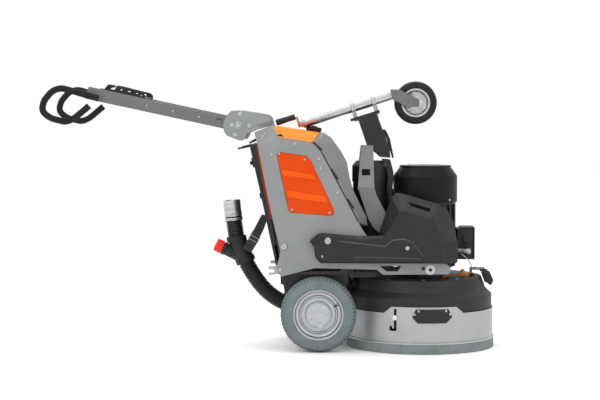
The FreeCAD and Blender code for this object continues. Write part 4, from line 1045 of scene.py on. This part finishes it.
def handle_detail():
    """Screws along the handle's arms."""
    bm = bmesh.new()
    slope = math.radians(12.2)
    for side in (-1, 1):
        for s in (0.180, 0.300, 0.420):
            at = Vector((-0.138 - s * math.cos(slope), side * 0.205, 1.011 + s * math.sin(slope)))
            bolt(bm, at, (0, side, 0), 0.0045)
        for x, z in ((-690, 1188), (-575, 1150)):
            bolt(bm, mm(x, side * 172, z - 6), (0, side, 0), 0.004)
    return finish_mesh(bm, "handle_bolts", "zinc", "handle")


frame_fasteners()
cabinet_edges()
panel_ribs()
tube_knob()
dark_insets()
cover_lines()
head_fasteners()
clamp_band()
for side, word in ((-1, "left"), (1, "right")):
    drive_tyre(side, word)
    drive_rim(side, word)
transport_wheel()
corrugated(HOSE_UPPER, "upper_hose", "hose_upper")
bend_with_head(corrugated(HOSE_LOWER, "lower_hose", "hose_lower"))
hose_fittings()
coupling()
cap_detail()
strap()
sling_sides()
arm_fittings()
crank_detail()
cowl_detail()
motor_posts()
terminal_detail()
lamp_detail()
deck_detail()
deck_cables()
handle_detail()


# ---- skins: the sheet and moulded parts again, with rounded edges ----

def skin(node, body, look, width):
    """A part's own shape with its sharp edges rounded, worn in place of the plain part."""
    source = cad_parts[node]
    bm = bmesh.new()
    bm.from_mesh(source.data)
    bm.transform(source.matrix_world)
    bmesh.ops.remove_doubles(bm, verts=bm.verts, dist=1e-6)
    bmesh.ops.dissolve_limit(bm, angle_limit=math.radians(0.6), verts=bm.verts, edges=bm.edges)
    sharp = [e for e in bm.edges if len(e.link_faces) == 2 and e.calc_face_angle(0) > math.radians(28)]
    bmesh.ops.bevel(bm, geom=sharp, offset=width, segments=3, affect="EDGES", profile=0.5,
                    clamp_overlap=True)
    return finish_mesh(bm, node + "_skin", look, body, replaces=[node], angle=40)


# node, body, slot, look and the width of its rounded edges
SKINS = [
    ("side_plate_left", "chassis", "frame_grey", "frame", 0.0007),
    ("side_plate_right", "chassis", "frame_grey", "frame", 0.0007),
    ("side_panels", "chassis", "orange", "orange", 0.0009),
    ("side_cover_left", "chassis", "black_plastic", "plastic", 0.0045),
    ("side_cover_right", "chassis", "black_plastic", "plastic", 0.0045),
    # top cover's skin in the brighter orange: painted highlight
    ("front_cover", "chassis", "cover_grey", "cover", 0.003),
    ("top_cover", "chassis", "orange", "orange_top_painted_highlight", 0.002),
    ("handle_frame", "handle", "dark_grey_paint", "dark_grey", 0.002),
    ("jockey_legs", "arm", "dark_grey_paint", "leg_grey", 0.0012),
    ("jockey_column", "arm", "black_paint", "black_paint", 0.0018),
    ("rear_panel", "chassis", "black_paint", "black_paint", 0.002),
    ("terminal_box", "head", "black_plastic", "plastic", 0.0015),
    ("pivot_brackets", "chassis", "frame_grey", "frame", 0.0008),
    ("axle_brackets", "chassis", "black_paint", "black_paint", 0.001),
]
for node, body, slot, look, width in SKINS:
    skin(node, body, look, width)


# ---- stage and light ----

def stage():
    """A plain pale floor that runs out of sight, and soft studio light."""
    bm = bmesh.new()
    size = 30.0
    bm.faces.new([bm.verts.new(c) for c in ((-size, -size, 0), (size, -size, 0), (size, size, 0),
                                            (-size, size, 0))])
    mesh = bpy.data.meshes.new("floor")
    bm.to_mesh(mesh)
    bm.free()
    floor = bpy.data.objects.new("floor", mesh)
    bpy.context.collection.objects.link(floor)
    pale = bpy.data.materials.new("floor_white")
    pale.use_nodes = True
    pale.node_tree.nodes["Principled BSDF"].inputs["Base Color"].default_value = (1.0, 1.0, 1.0, 1)
    pale.node_tree.nodes["Principled BSDF"].inputs["Roughness"].default_value = 0.7
    mesh.materials.append(pale)
    world = bpy.data.worlds.new("studio")
    bpy.context.scene.world = world
    world.use_nodes = True
    world.node_tree.nodes["Background"].inputs["Color"].default_value = (1, 1, 1, 1)
    world.node_tree.nodes["Background"].inputs["Strength"].default_value = 1.0
    for name, at, size, power in (("key", (-1.6, -3.4, 3.4), 2.4, 45), ("front", (2.6, -2.4, 2.2), 1.8, 20),
                                  ("top", (0.2, 0.6, 3.6), 2.6, 60), ("back", (-1.0, 3.2, 2.4), 2.0, 20)):
        data = bpy.data.lights.new(name, "AREA")
        data.size = size
        data.energy = power
        lamp = bpy.data.objects.new(name, data)
        lamp.location = at
        lamp.rotation_euler = (Vector((0.2, 0, 0.5)) - Vector(at)).to_track_quat("-Z", "Y").to_euler()
        bpy.context.collection.objects.link(lamp)
    bpy.context.scene.view_settings.view_transform = "Standard"


stage()
